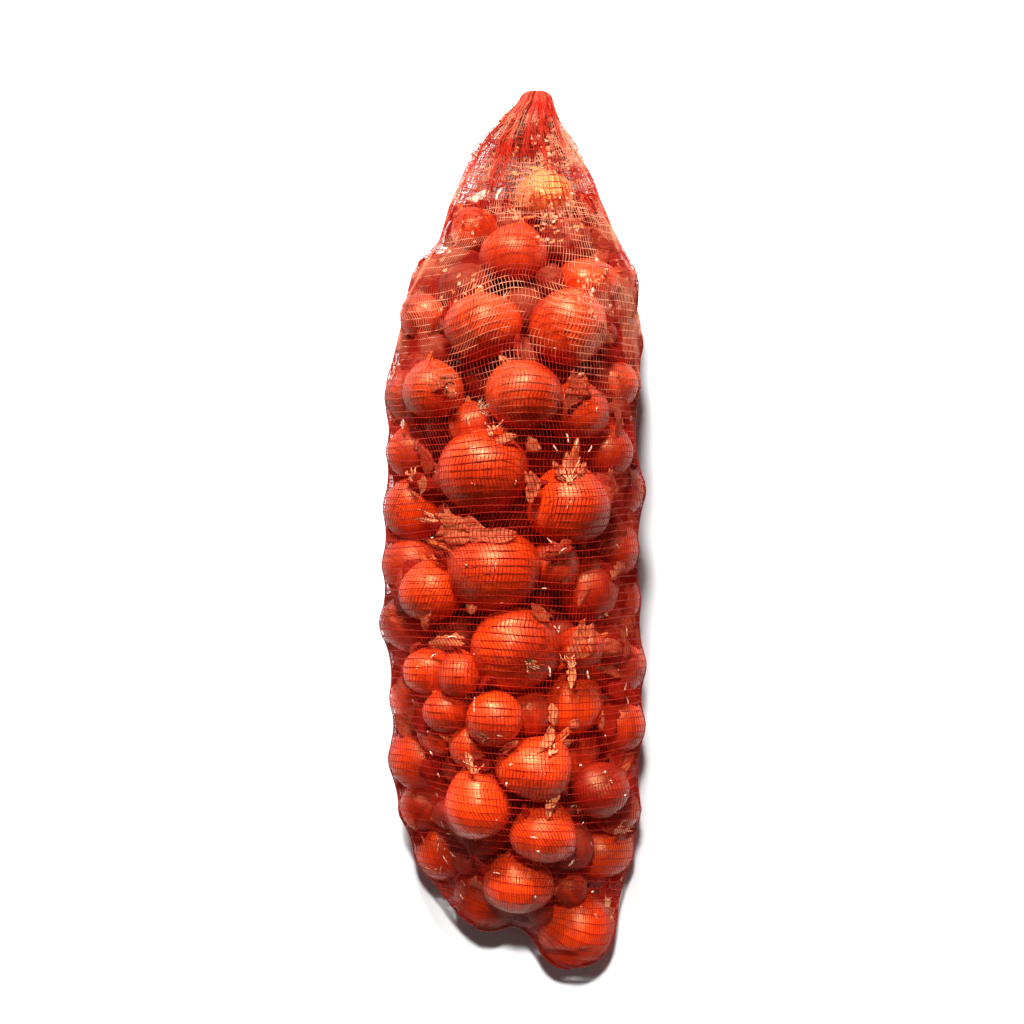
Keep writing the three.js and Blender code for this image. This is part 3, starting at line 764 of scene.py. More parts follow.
def thread_corners(faces, index, closed):
    """Bake map of threads: each thread is a strip across the square."""
    threads, count = index.shape[:2]
    thread, rest = np.divmod(faces, count * 4)
    place, corner = np.divmod(rest, 4)
    place = place.astype(float)
    if closed:
        wraps = (place.max(1) - place.min(1) > count / 2)[:, None]
        place = np.where(wraps & (place < count / 2), place + count, place)
    corner = corner.astype(float)
    around = (corner.max(1) - corner.min(1) > 2)[:, None]
    corner = np.where(around & (corner == 0), 4, corner)
    return np.stack((place / (count + 1), (thread + corner / 5) / threads), -1)


# ---- Materials ----

class Value:
    """A socket of a recipe. Arithmetic on values adds Math nodes."""

    def __init__(self, recipe, socket):
        self.recipe, self.socket = recipe, socket

    def maths(self, operation, *others):
        return self.recipe.node("ShaderNodeMath", {"operation": operation}, dict(enumerate((self, *others))))

    def __add__(self, other):
        return self.maths("ADD", other)

    __radd__ = __add__

    def __mul__(self, other):
        return self.maths("MULTIPLY", other)

    __rmul__ = __mul__

    def __sub__(self, other):
        return self.maths("SUBTRACT", other)

    def __rsub__(self, other):
        return self.recipe.node("ShaderNodeMath", {"operation": "SUBTRACT"}, {0: other, 1: self})

    def __abs__(self):
        return self.maths("ABSOLUTE")

    def clamped(self):
        return self.maths("MINIMUM", 1.0).maths("MAXIMUM", 0.0)

    def step(self, low, high):
        """A smooth step from 0 at low to 1 at high."""
        settings = {"interpolation_type": "SMOOTHSTEP"}
        if low < high:
            return self.recipe.node("ShaderNodeMapRange", settings,
                                    {"Value": self, "From Min": low, "From Max": high})
        return 1 - self.step(high, low)


class Recipe:
    """A material written as expressions."""

    def __init__(self, name):
        self.material = bpy.data.materials.new(name)
        self.material.use_nodes = True
        self.tree = self.material.node_tree
        self.tree.nodes.clear()

    def node(self, kind, settings=None, sockets=None, output=0):
        """Adds a node: its settings first, then the values or links of its sockets."""
        node = self.tree.nodes.new(kind)
        for name, value in (settings or {}).items():
            setattr(node, name, value)
        for name, value in (sockets or {}).items():
            if isinstance(name, int):
                socket = node.inputs[name]
            else:
                socket = next(s for s in node.inputs if s.name == name and s.enabled)
            if isinstance(value, Value):
                self.tree.links.new(value.socket, socket)
            else:
                socket.default_value = value
        outputs = [s for s in node.outputs if s.enabled]
        if not outputs:
            return None
        if isinstance(output, int):
            return Value(self, outputs[output])
        return Value(self, next(s for s in outputs if s.name == output))

    def mix(self, share, first, second):
        """A colour between two colours."""
        first, second = (c if isinstance(c, Value) else (*c[:3], 1) for c in (first, second))
        return self.node("ShaderNodeMix", {"data_type": "RGBA"}, {"Factor": share, "A": first, "B": second})

    def attribute(self, name, output="Fac"):
        return self.node("ShaderNodeAttribute", {"attribute_name": name}, output=output)

    def noise(self, vector, scale, detail=3.0, roughness=0.55):
        sockets = {"Vector": vector, "Scale": scale, "Detail": detail, "Roughness": roughness}
        return self.node("ShaderNodeTexNoise", None, sockets)

    def place(self):
        return self.node("ShaderNodeTexCoord", output="Object")

    def stretch(self, vector, factors):
        return self.node("ShaderNodeVectorMath", {"operation": "MULTIPLY"}, {0: vector, 1: factors})

    def finish(self, colour, roughness, height=None, depth=0.0, **sockets):
        """Ends the recipe in a Principled shader, with a bump of a height where one is given."""
        inputs = {"Base Color": colour, "Roughness": roughness}
        inputs.update({name.replace("_", " "): value for name, value in sockets.items()})
        if height is not None:
            inputs["Normal"] = self.node("ShaderNodeBump", None,
                                         {"Strength": 1.0, "Distance": depth * MM, "Height": height})
        shader = self.node("ShaderNodeBsdfPrincipled", None, inputs)
        self.node("ShaderNodeOutputMaterial", None, {"Surface": shader})
        return self.material


def skin_material(colours):
    """Dry outer skin: copper and orange with fine veins from neck to root, bare lighter patches, a straw
    neck and a brown root plate; darker towards the root, which is partly painted shade."""
    r = Recipe("onion_skin")
    grain = r.attribute("grain", "Vector")
    along, tone, bare = r.attribute("along"), r.attribute("tone"), r.attribute("bare")
    fine = r.noise(r.stretch(grain, (1, 1, 0.16)), 11.0, 4.0, 0.6)
    broad = r.noise(r.stretch(grain, (1, 1, 0.5)), 1.7, 2.0)
    blotch = r.noise(r.place(), 60.0, 3.0)
    edge = bare + (blotch - 0.5) * 0.5 + (fine - 0.5) * 0.25
    peeled = edge.step(0.52, 0.56)
    veins = (1 - abs(fine - 0.5) * 13.0).clamped() * (1 - peeled * 0.5)
    # Darker towards the root: partly a browner root end, and partly painted shade, as most roots lie on the
    # side away from the light.
    low = along.step(0.45, 0.86) * 0.5
    shade = (tone + (broad - 0.5) * 1.4 + (fine - 0.5) * 0.65 - peeled * 0.28 + low - 0.06).clamped()
    colour = r.mix(shade, colours.skin_light, colours.skin_dark)
    colour = r.mix((tone * -4.0 * (1 - shade * 0.5)).clamped(), colour, colours.gold)
    colour = r.mix(veins * 0.38, colour, colours.skin_vein)
    colour = r.mix(blotch.step(0.62, 0.72) * 0.35, colour, colours.skin_vein)
    neck = (along + (fine - 0.5) * 0.12).step(0.24, 0.12)
    colour = r.mix(neck * 0.6, colour, colours.straw)
    root = along.step(0.93, 0.96)
    colour = r.mix(root * 0.9, colour, colours.root_plate)
    height = fine * 0.5 + (1 - peeled) * 0.5 + veins * 0.25 + blotch * 0.2
    roughness = 0.31 + (fine - 0.5) * 0.2 + (1 - peeled) * 0.06 + neck * 0.25 + root * 0.3
    roughness = roughness + tone.step(0.9, 1.1) * 0.3
    return r.finish(colour, roughness.clamped(), height, 0.24, Specular_IOR_Level=0.75,
                    Specular_Tint=(1.0, 0.62, 0.30, 1))


def net_material(colours, name, tint, painted_sheen):
    """Red plastic netting: a little paler where it is rubbed. Towards the neck it is paler, with salmon
    patches, which is painted light: a painted brighter net and a painted sheen.
    """
    r = Recipe(name)
    place = r.place()
    rubbed = r.noise(place, 55.0, 3.0)
    grain = r.noise(place, 900.0, 2.0)
    shade = ((rubbed - 0.35) * 1.3 + (grain - 0.5) * 0.5 + tint).clamped()
    height = r.node("ShaderNodeSeparateXYZ", None, {"Vector": place}, output="Y")
    # Paler towards the neck (Y of the object): painted light, a brighter net there.
    colour = r.mix((shade + height.step(0.21, 0.30) * 0.5).clamped(), colours.net_deep, colours.net_pale)
    # Salmon patches towards the neck: painted sheen on the threads.
    painted_sheen_patches = r.noise(place, 34.0, 3.0).step(0.44, 0.60) * height.step(0.06, 0.20)
    colour = r.mix(painted_sheen_patches * painted_sheen, colour, colours.net_painted_sheen)
    roughness = (0.34 + (rubbed - 0.5) * 0.25 + (grain - 0.5) * 0.1).clamped()
    return r.finish(colour, roughness, grain, 0.06, Specular_IOR_Level=0.12,
                    Specular_Tint=(1.0, 0.6, 0.45, 1), Subsurface_Weight=0.6,
                    Subsurface_Radius=(1.0, 0.22, 0.10), Subsurface_Scale=0.001)


def paper_material(colours):
    """Loose papery skin: thin, straw to copper, with veins and crinkles."""
    r = Recipe("loose_skin")
    grain = r.attribute("grain", "Vector")
    tone = r.attribute("tone")
    veins = r.noise(r.stretch(grain, (1, 0.12, 1)), 9.0, 3.0)
    crinkle = r.noise(r.place(), 220.0, 3.0)
    shade = (tone + (veins - 0.5) * 1.0 + (crinkle - 0.5) * 0.4).clamped()
    colour = r.mix(shade, colours.paper, colours.skin_dark)
    colour = r.mix((tone * -3.0).clamped(), colour, colours.sliver)
    roughness = (0.45 + tone * 0.2 + (crinkle - 0.5) * 0.3).clamped()
    return r.finish(colour, roughness, veins + crinkle * 0.6, 0.35, Specular_IOR_Level=0.15,
                    Specular_Tint=(1.0, 0.6, 0.4, 1))


def fibre_material(colours, name, light, dark, scale):
    """Roots and slivers: dry, matt, uneven in tone."""
    r = Recipe(name)
    patch = r.noise(r.place(), scale, 3.0)
    colour = r.mix(((patch - 0.3) * 1.6).clamped(), light, dark)
    return r.finish(colour, (0.6 + (patch - 0.5) * 0.3).clamped(), patch, 0.1)


# ---- Pieces ----

def onion_body(onion, rng, rings, columns):
    """Points of one onion, its place along the onion and round it, and how bare of its outer skin it is."""
    outline = smooth_curve(ONION_OUTLINE, rings)
    radius, height = np.maximum(outline[:, 0], 0)[:, None], outline[:, 1][:, None]
    along = np.linspace(0, 1, rings)[:, None]
    angle = (2 * math.pi * np.arange(columns) / columns)[None]
    body = np.sin(math.pi * along) ** 0.7
    lumps = sum(rng.uniform(0.2, 1) * np.cos(k * angle + rng.uniform(0, 6.3)) for k in (1, 2, 3, 4)) * 0.026
    ribs = sum(rng.uniform(0.3, 1) * np.cos(k * angle + rng.uniform(0, 6.3)) for k in (7, 9, 13, 17)) * 0.005
    slope = rng.uniform(-0.10, 0.12) + 0.3 * max(onion.neck - 0.8, 0)
    on_neck = smoothstep(height, SHOULDER - 0.16, SHOULDER + 0.1)
    pleats = 1 + on_neck * (0.20 * np.cos(5 * angle + rng.uniform(0, 6.3)) + 0.16 * np.cos(8 * angle + 1))
    radius = radius * (1 + (lumps + ribs) * body) * pleats * (1 - slope * height * body)
    tears = 0.35 * np.cos(3 * angle + rng.uniform(0, 6.3)) + 0.2 * np.cos(7 * angle)
    torn = 1 + tears * (height > SHOULDER + 0.2)
    neck = SHOULDER + (height - SHOULDER) * onion.neck * torn
    height = np.where(height > SHOULDER, neck, height + 0 * angle)
    height = height * (1 + 0.03 * rng.uniform(-1, 1))
    rise = np.maximum(height - SHOULDER + 0.05, 0)
    twist = rise * rng.uniform(-2, 2)
    bend = rise ** 1.5 * rng.uniform(-0.9, 0.9)
    x = radius * np.cos(angle + twist) + bend
    y = radius * np.sin(angle + twist) + bend * rng.uniform(-0.5, 0.5)
    points = np.stack((x, y, height), -1)
    middle, lean = rng.uniform(0, 6.3), rng.uniform(-0.5, 0.5)
    bare = 0.40 + rng.uniform(-0.30, 0.12) + 0.33 * np.cos(angle - middle) * body + lean * (along - 0.5)
    return points, along + 0 * angle, angle + 0 * along, bare


def axis_frame(turn, tip):
    """Rotation that takes +Z to the way that a neck points."""
    turn, tip = math.radians(turn), math.radians(tip)
    axis = Vector((math.cos(turn) * math.cos(tip), math.sin(turn) * math.cos(tip), math.sin(tip)))
    return np.array(Vector((0, 0, 1)).rotation_difference(axis).to_matrix())


def shell_faces(rings, columns):
    """Quads of a closed body of rings, with single points at its two ends."""
    index = np.arange(rings * columns).reshape(rings, columns)
    side = np.roll(index, -1, 1)
    return np.stack((index[:-1], index[1:], side[1:], side[:-1]), -1).reshape(-1, 4)


def atlas_corners(rings, columns, cell, cells):
    """Bake map of one body: a rectangle in a square of cells."""
    across = math.ceil(math.sqrt(cells))
    column, row = cell % across, cell // across
    u = (np.arange(columns + 1) / columns * CELL_USED + CELL_MARGIN + column) / across
    v = (np.arange(rings) / (rings - 1) * CELL_USED + CELL_MARGIN + row) / across
    u, v = np.meshgrid(u, v)
    grid = np.stack((u, v), -1)
    return np.stack((grid[:-1, :-1], grid[1:, :-1], grid[1:, 1:], grid[:-1, 1:]), 2).reshape(-1, 4, 2)


def filler_onions(net, onions):
    """Small onions that fill the hollows between the others, and stay clear of the upper side. Their darker
    tone is painted shade of the deep hollows.
    """
    rng = np.random.default_rng(61)
    low, high = net.grid.min((0, 1)), net.grid.max((0, 1))
    axes = [np.arange(a + 8, b - 8, FILLER_STEP) for a, b in zip(low, high)]
    points = np.stack(np.meshgrid(*axes, indexing="ij"), -1).reshape(-1, 3)
    points += rng.uniform(-2, 2, points.shape)
    middle, half, top, widest = section_at(points[:, 1])
    rise = (points[:, 2] - widest) / np.where(points[:, 2] > widest, top - widest, widest)
    inside = np.abs((points[:, 0] - middle) / half) ** FULLNESS + np.abs(rise) ** FULLNESS < 0.96
    points = points[inside & (points[:, 1] < LOOSE_FROM_Y + 30)]
    room = np.array([net.depth_of(point)[0] for point in points])
    room -= 1 + 34 * smoothstep(points[:, 2], 80, 115) + 4 * smoothstep(points[:, 1], 150, 180)
    for onion in onions:
        away = np.linalg.norm(points - (onion.x, onion.y, onion.z), axis=1)
        room = np.minimum(room, away - FILLER_OVERLAP * onion.radius)
    found = []
    smallest, largest = FILLER_RADII
    while room.max() > smallest:
        i = room.argmax()
        radius = min(room[i], largest)
        turn, tip, neck, tone = any_looks(rng)
        # A tone 0.5 darker: painted shade, as these onions lie deep in the hollows.
        found.append(Onion(*points[i], (radius,) * 3, False, (turn, tip, neck, tone + 0.5)))
        away = np.linalg.norm(points - points[i], axis=1)
        room = np.minimum(room, away - FILLER_OVERLAP * radius)
    return found


def make_onions(material):
    """All onions, joined into groups from the neck to the foot."""
    net = sack_net()
    onions = packed_onions()
    onions = sorted(onions + filler_onions(net, onions), key=lambda o: -o.y)
    size = math.ceil(len(onions) / ONION_GROUPS)
    for group in range(ONION_GROUPS):
        batch = Batch(("grain", "along", "tone", "bare"))
        for cell, onion in enumerate(onions[group * size:(group + 1) * size]):
            rng = np.random.default_rng(9000 + round(onion.x * 7 + onion.y * 13))
            rings, columns = SHOWN_ONION if onion.shows else HIDDEN_ONION
            points, along, angle, bare = onion_body(onion, rng, rings, columns)
            turned = points @ axis_frame(onion.turn, onion.tip).T
            sunk = UNDER_LOOSE_NET * float(smoothstep(onion.y, TIGHT_END_Y, LOOSE_FROM_Y))
            placed = turned * onion.radii + (onion.x, onion.y, onion.z - sunk)
            placed = net.tuck_in(placed.reshape(-1, 3), 0.5)
            shift = rng.uniform(-50, 50, 3)
            grain = np.stack((np.cos(angle) * 1.6, np.sin(angle) * 1.6, along * 3.0), -1)
            corners = atlas_corners(rings, columns, cell, size)
            batch.add(placed, shell_faces(rings, columns), corners, grain=grain.reshape(-1, 3) + shift,
                      along=along.reshape(-1), tone=np.full(placed.shape[0], onion.tone),
                      bare=bare.reshape(-1))
        batch.piece(f"onions_{group + 1}", material, "onion_skin")


def add_threads(batch, points, normals, width, thickness, rng, closed):
    """Adds threads of uneven width: closed ones run round the sack, and open ones along it."""
    unevenness = 0.22 if closed else 0.25
    width = width * (1 + unevenness * rng.standard_normal(points.shape[:2]).clip(-2, 2))
    vertices, faces, index = thread_mesh(points, normals, width, thickness, closed)
    batch.add(vertices, faces, thread_corners(faces, index, closed))


def make_rows(material, sizes):
    """The threads that run round the sack, in two pieces."""
    net = sack_net()
    rng = np.random.default_rng(11)
    rows = net.grid.shape[0]
    upper, lower = slice(1, rows // 2), slice(rows // 2, rows - 1)
    thickness = sizes.thread_thickness
    for name, part in (("net_rows_upper", upper), ("net_rows_lower", lower)):
        batch = Batch()
        add_threads(batch, net.grid[part], net.normal[part], sizes.row_width, thickness, rng, True)
        batch.piece(name, material, "net")


def make_columns(material, sizes):
    """The threads that run along the sack from the neck to the seam, in two pieces."""
    net = sack_net()
    rng = np.random.default_rng(12)
    grid, normal = net.grid.swapaxes(0, 1), net.normal.swapaxes(0, 1)
    step = np.where(np.arange(grid.shape[1]) % 2, 1, -1)[None, :, None]
    side = unit(np.cross(np.gradient(grid, axis=1), normal))
    loose = rng.standard_normal(grid.shape[:2]).clip(-2, 2)[..., None] * 0.12
    grid = grid + side * (step * sizes.zigzag + loose) + normal * sizes.thread_thickness * 0.4
    half = grid.shape[0] // 2
    for name, part in (("net_columns_a", slice(0, half)), ("net_columns_b", slice(half, None))):
        batch = Batch()
        add_threads(batch, grid[part], normal[part], sizes.column_width, sizes.thread_thickness, rng, False)
        batch.piece(name, material, "net")


def make_pleats(material, sizes):
    """Netting that is folded in under the outer net of the neck."""
    net = sack_net()
    rng = np.random.default_rng(13)
    last = int(np.searchsorted(-net.y, -PLEATS_END_Y))
    u = np.arange(64) / 64
    places, normals = [], []
    for row in range(1, last):
        t = row / last
        place, normal = net.ring_at(row + 0.5, u + 0.6 * fold_shift(u + 0.04) * (1 - t))
        fold = 0.5 - 0.5 * np.cos(fold_phase(u * 2 + 0.1 * t))
        depth = 0.5 + (1.0 + 3.2 * fold) * math.sin(math.pi * min(t * 1.05, 1)) ** 0.6
        places.append(place - normal * depth[:, None])
        normals.append(normal)
    grid, normal = np.array(places), np.array(normals)
    side = unit(np.roll(grid, -1, 1) - np.roll(grid, 1, 1))
    grid += side * ripple(grid.shape[:2], 7)[..., None] * 0.8
    grid += np.cross(normal, side) * ripple(grid.shape[:2], 8, (2, 24), (2, 12))[..., None] * 2.0
    grid[..., 2] = np.maximum(grid[..., 2], 0.6)
    batch = Batch()
    thickness = sizes.thread_thickness
    add_threads(batch, grid, normal, sizes.row_width * 0.9, thickness, rng, True)
    grid, normal = grid.swapaxes(0, 1), normal.swapaxes(0, 1)
    add_threads(batch, grid, normal, sizes.column_width, thickness, rng, False)
    batch.piece("folded_in_net", material, "net")


def thread_bundle(batch, net, middle, width, end_y, size, rng):
    """Threads of the net that are drawn together into a fold, from the tip down the outside of the neck."""
    last = float(np.interp(-end_y, -net.y, np.arange(len(net.y))))
    steps = 44
    count = max(round(width / (size * 0.6)), 3)
    threads, normals = [], []
    for v in (np.arange(count) + 0.5) / count * 2 - 1:
        end = last * (1 - 0.3 * v**2 - rng.uniform(0, 0.25))
        sway, phase = rng.uniform(0.3, 1.0), rng.uniform(0, 6.3)
        lift = rng.uniform(0.2, 0.9) + 0.9 * (1 - v**2)
        thread = []
        for t in np.linspace(0, 1, steps):
            row = t * end
            ring = net.grid[int(row)]
            girth = np.linalg.norm(np.roll(ring, -1, 0) - ring, axis=1).sum()
            across = v * width / 2 * (0.6 + 0.7 * t) + sway * math.sin(7 * t + phase) * t
            place, normal = net.ring_at(row, middle + across / girth)
            thread.append((place + normal * (lift * (1 - smoothstep(t, 0.7, 1) * 1.4)), normal))
        threads.append([place for place, _ in thread])
        normals.append([normal for _, normal in thread])
    add_threads(batch, np.array(threads), np.array(normals), size, 0.45, rng, False)


def sheet_shell(batch, top, under, **values):
    """Adds a thin closed shell between two like grids of points."""
    rows, columns = top.shape[:2]
    count = rows * columns
    index = np.arange(count).reshape(rows, columns)
    quads = np.stack((index[:-1, :-1], index[1:, :-1], index[1:, 1:], index[:-1, 1:]), -1).reshape(-1, 4)
    rim = np.concatenate((index[:-1, 0], index[-1, :-1], index[:0:-1, -1], index[0, :0:-1]))
    after = np.roll(rim, -1)
    edge = np.stack((rim, rim + count, after + count, after), -1)
    faces = np.concatenate((quads, quads[:, ::-1] + count, edge))
    batch.add(np.concatenate((top.reshape(-1, 3), under.reshape(-1, 3))), faces, **values)


def make_gathered(material, sizes):
    """The gathered end of the neck: a pleated knob of net, and the tight folds that fan down from it."""
    net = sack_net()
    rng = np.random.default_rng(14)
    rows, columns = 26, 300
    u = np.arange(columns) / columns
    pleat = 0.5 + 0.5 * np.cos(fold_phase(u) + math.pi)
    fine = np.cos(2 * math.pi * 75 * u)
    centre = net.plain[0].mean(0)
    rings = []
    for t in np.linspace(0, 1, rows):
        row = 3.0 * max(1 - t / 0.45, 0)
        close = max(t - 0.45, 0) / 0.55
        place, normal = net.ring_at(row, u)
        size = 1 - close**1.6
        lift = -0.9 + 1.6 * float(smoothstep(t, 0.02, 0.35))
        out = place + normal * (lift + (0.5 * pleat + 0.16 * fine)[:, None] * size)
        out = (out - centre) * size + centre
        out[:, 1] += TIP_DOME * 1.8 * math.sin(close * math.pi / 2) * (1 + 0.3 * (pleat - 0.5) * (1 - close))
        rings.append(out)
    grid = np.array(rings)
    inner = grid[0] * 0.85 + centre * 0.15
    grid = np.concatenate((inner[None], grid))
    grid[..., 2] = np.maximum(grid[..., 2], 0.3)
    batch = Batch()
    batch.add(grid, shell_faces(rows + 1, columns))
    batch.piece("gathered_tip", material, "net")
    folds = Batch()
    for middle, width, end_y in GATHERED_BANDS:
        thread_bundle(folds, net, middle, width, end_y, sizes.row_width, rng)
    folds.piece("gathered_folds", material, "net")


def along_net(normal, angle):
    """Direction along the net at an angle as seen from above, in radians."""
    forward = np.array((math.cos(angle), math.sin(angle), 0.0))
    return unit(forward - normal * (forward @ normal))


def paper_scrap(batch, place, normal, heading, length, width, curl, tone, rng, net, depth=1.2, cells=(11, 6)):
    """One scrap of skin: a thin, curled shell with an uneven edge that lies just under the net."""
    rows, columns = cells
    forward = along_net(normal, math.radians(heading))
    aside = np.cross(normal, forward)
    u, v = np.meshgrid(np.linspace(-1, 1, rows), np.linspace(-1, 1, columns), indexing="ij")
    edge = sum(rng.uniform(-1, 1) * np.sin(k * u + rng.uniform(0, 6.3)) for k in (2, 3.4, 5.3, 8, 12)) * 0.15
    wide = (1 - np.abs(u) ** rng.uniform(1.8, 3.5) * rng.uniform(0.55, 0.95)) * (1 + edge * np.sign(v))
    x = u * length / 2 + rng.uniform(-0.2, 0.2) * length * v**2
    y = v * width / 2 * wide + rng.uniform(-0.15, 0.15) * length * u**2
    roll = -curl * width * 0.35 * (wide * v) ** 2 * rng.choice((-0.4, 1))
    roll = roll + rng.uniform(-0.12, 0.05) * length * u**2
    wave = 0.6 * np.sin(u * rng.uniform(2, 5) + v * 2 + rng.uniform(0, 6)) + 0.25 * np.sin(v * 9 + u)
    z = -depth + roll + wave
    points = place + forward * x[..., None] + aside * y[..., None] + normal * z[..., None]
    top = net.tuck_in(points.reshape(-1, 3), 0.35)
    shift = rng.uniform(-50, 50, 3)
    grain = np.stack((v, u, 0 * u), -1).reshape(-1, 3) * (width / 12, length / 12, 1) + shift
    shape = (rows, columns, 3)
    sheet_shell(batch, top.reshape(shape), (top - normal * 0.22).reshape(shape),
                grain=np.concatenate((grain, grain)), tone=np.full(2 * rows * columns, tone))


def scattered(net, rng, count, low_row=30):
    """Random places all round the net, with their normals and headings."""
    rows, columns = net.grid.shape[:2]
    for _ in range(count):
        i, j = rng.integers(low_row, rows - 8), rng.integers(0, columns)
        yield net.grid[i, j], net.normal[i, j], rng.uniform(0, 360)


def make_loose_skins(material):
    """Papery skins that came off the onions: the ones that show, more all round, and small flakes."""
    net = sack_net()
    rng = np.random.default_rng(21)
    batch = Batch(("grain", "tone"))
    for x, y, heading, length, width, curl, tone in LARGE_SKINS:
        place, normal = net.over(x, y)
        paper_scrap(batch, place, normal, heading, length, width, curl, tone, rng, net, cells=(23, 8))
    for place, normal, heading in scattered(net, rng, SCRAPS_ALL_ROUND):
        length, width = rng.uniform(8, 26), rng.uniform(5, 12)
        curl, tone, depth = rng.uniform(0.2, 0.9), rng.uniform(0.6, 1.15), rng.uniform(2, 12)
        paper_scrap(batch, place, normal, heading, length, width, curl, tone, rng, net, depth)
    for x_low, x_high, y_low, y_high, count in FLAKE_PATCHES:
        for _ in range(count):
            y = rng.uniform(y_low, y_high)
            middle, half, _, _ = section_at(y)
            place, normal = net.over(min(rng.uniform(x_low, x_high), middle + 0.92 * half), y)
            heading, length, width = rng.uniform(0, 360), rng.uniform(2.5, 6), rng.uniform(2, 4)
            # Pale tones: skin flakes, and partly painted light in the shaded neck.
            tone = rng.uniform(-0.2, 0.3)
            paper_scrap(batch, place, normal, heading, length, width, 0.3, tone, rng, net, 2.0, (6, 4))
    batch.piece("loose_skins", material, "loose_skin")


def make_side_shade_skins(material):
    """Skins on the sides and low in the sack that fill the hollows behind the net; their dark tone is painted
    shade.
    """
    net = sack_net()
    rng = np.random.default_rng(22)
    batch = Batch(("grain", "tone"))
    up = np.array((0.0, 0.0, 1.0))
    for place, normal, heading in scattered(net, rng, SIDE_SKINS, 22):
        # Dark tones: painted shade in the hollows behind the net.
        length, width, tone = rng.uniform(18, 34), rng.uniform(12, 22), rng.uniform(0.75, 1.4)
        if abs(normal[2]) < 0.5:
            facing = unit(0.4 * normal + up * rng.choice((1.0, 1.0, 0.3)))
            place = place - normal * rng.uniform(4, 12) - up * rng.uniform(0, 12)
            curl = rng.uniform(0.1, 0.4)
            paper_scrap(batch, place, facing, heading, length, width, curl, tone, rng, net, 0.0, (7, 5))
    for _ in range(LOW_SKINS):
        y = rng.uniform(TIGHT_END_Y - 30, LOOSE_FROM_Y + 48)
        middle, half, _, _ = section_at(y)
        place, _ = net.over(middle + rng.uniform(-0.9, 0.9) * half, y)
        place = place * (1, 1, rng.uniform(0.2, 0.62))
        heading, length, width = rng.uniform(0, 6.3), rng.uniform(20, 34), rng.uniform(14, 24)
        # Dark tones: painted shade low under the loose net.
        curl, tone = rng.uniform(0.2, 0.5), rng.uniform(0.8, 1.4)
        paper_scrap(batch, place, up, heading, length, width, curl, tone, rng, net, 0.0, (7, 5))
    batch.piece("side_shade_skins", material, "loose_skin")


def spindle(batch, path, radius, sides=4):
    """A thin closed shape along a path, pointed at both ends."""
    count = len(path)
    along = unit(np.gradient(path, axis=0))
    up = np.array((0.3, 0.2, 0.93))
    side = unit(np.cross(along, up))
    top = np.cross(side, along)
    size = radius * np.sqrt(np.maximum(1 - (2 * np.linspace(0, 1, count) - 1) ** 4, 0.02))[:, None, None]
    angle = (2 * math.pi * np.arange(sides) / sides)[None, :, None]
    ring = path[:, None] + size * (np.cos(angle) * side[:, None] + np.sin(angle) * top[:, None])
    index = np.arange(count * sides).reshape(count, sides)
    turn = np.roll(index, -1, 1)
    faces = np.stack((index[:-1], index[1:], turn[1:], turn[:-1]), -1).reshape(-1, 4)
    caps = np.array((index[0], index[-1, ::-1]))
    batch.add(ring, np.concatenate((faces, caps)) if sides == 4 else faces)


def make_slivers(material):
    """Pale slivers and crumbs of dry skin."""
    net = sack_net()
    rng = np.random.default_rng(31)
    batch = Batch()

    def sliver(place, normal, heading, length, width):
        forward = along_net(normal, math.radians(heading))
        aside = np.cross(normal, forward)
        t = np.linspace(-1, 1, 6)[:, None]
        path = place - normal * 0.9 + forward * t * length / 2
        path = path + aside * (1 - t**2) * rng.uniform(-0.15, 0.15) * length
        spindle(batch, net.tuck_in(path, 0.4), width / 2)

    for x, y, heading, length, width in SLIVERS:
        sliver(*net.over(x, y), heading, length, width)
    for place, normal, heading in scattered(net, rng, SLIVERS_ALL_ROUND):
        sliver(place, normal, heading, rng.uniform(2, 8), rng.uniform(0.6, 1.6))
    batch.piece("pale_slivers", material, "loose_skin")


def make_torn_necks(material):
    """Dry necks that are torn into papery strands."""
    net = sack_net()
    rng = np.random.default_rng(32)
    batch = Batch()
    for x, y, heading, spread, count, length in TORN_NECKS:
        for turn in np.radians(heading + rng.uniform(-0.5, 0.5, count) * spread):
            t = np.linspace(0, 1, 12)
            far = length * rng.uniform(0.45, 1.1)
            out = far * t
            aside = rng.uniform(-0.35, 0.35) * far * t**2
            aside = aside + rng.uniform(0.6, 1.6) * np.sin(rng.uniform(5, 12) * t)
            across = x + out * math.cos(turn) - aside * math.sin(turn) + rng.uniform(-2, 2)
            up = y + out * math.sin(turn) + aside * math.cos(turn)
            path = np.array([place - normal * rng.uniform(0.8, 2.0)
                             for place, normal in (net.over(a, b) for a, b in zip(across, up))])
            spindle(batch, net.tuck_in(path, 0.4), rng.uniform(0.45, 1.0))
    batch.piece("torn_necks", material, "loose_skin")


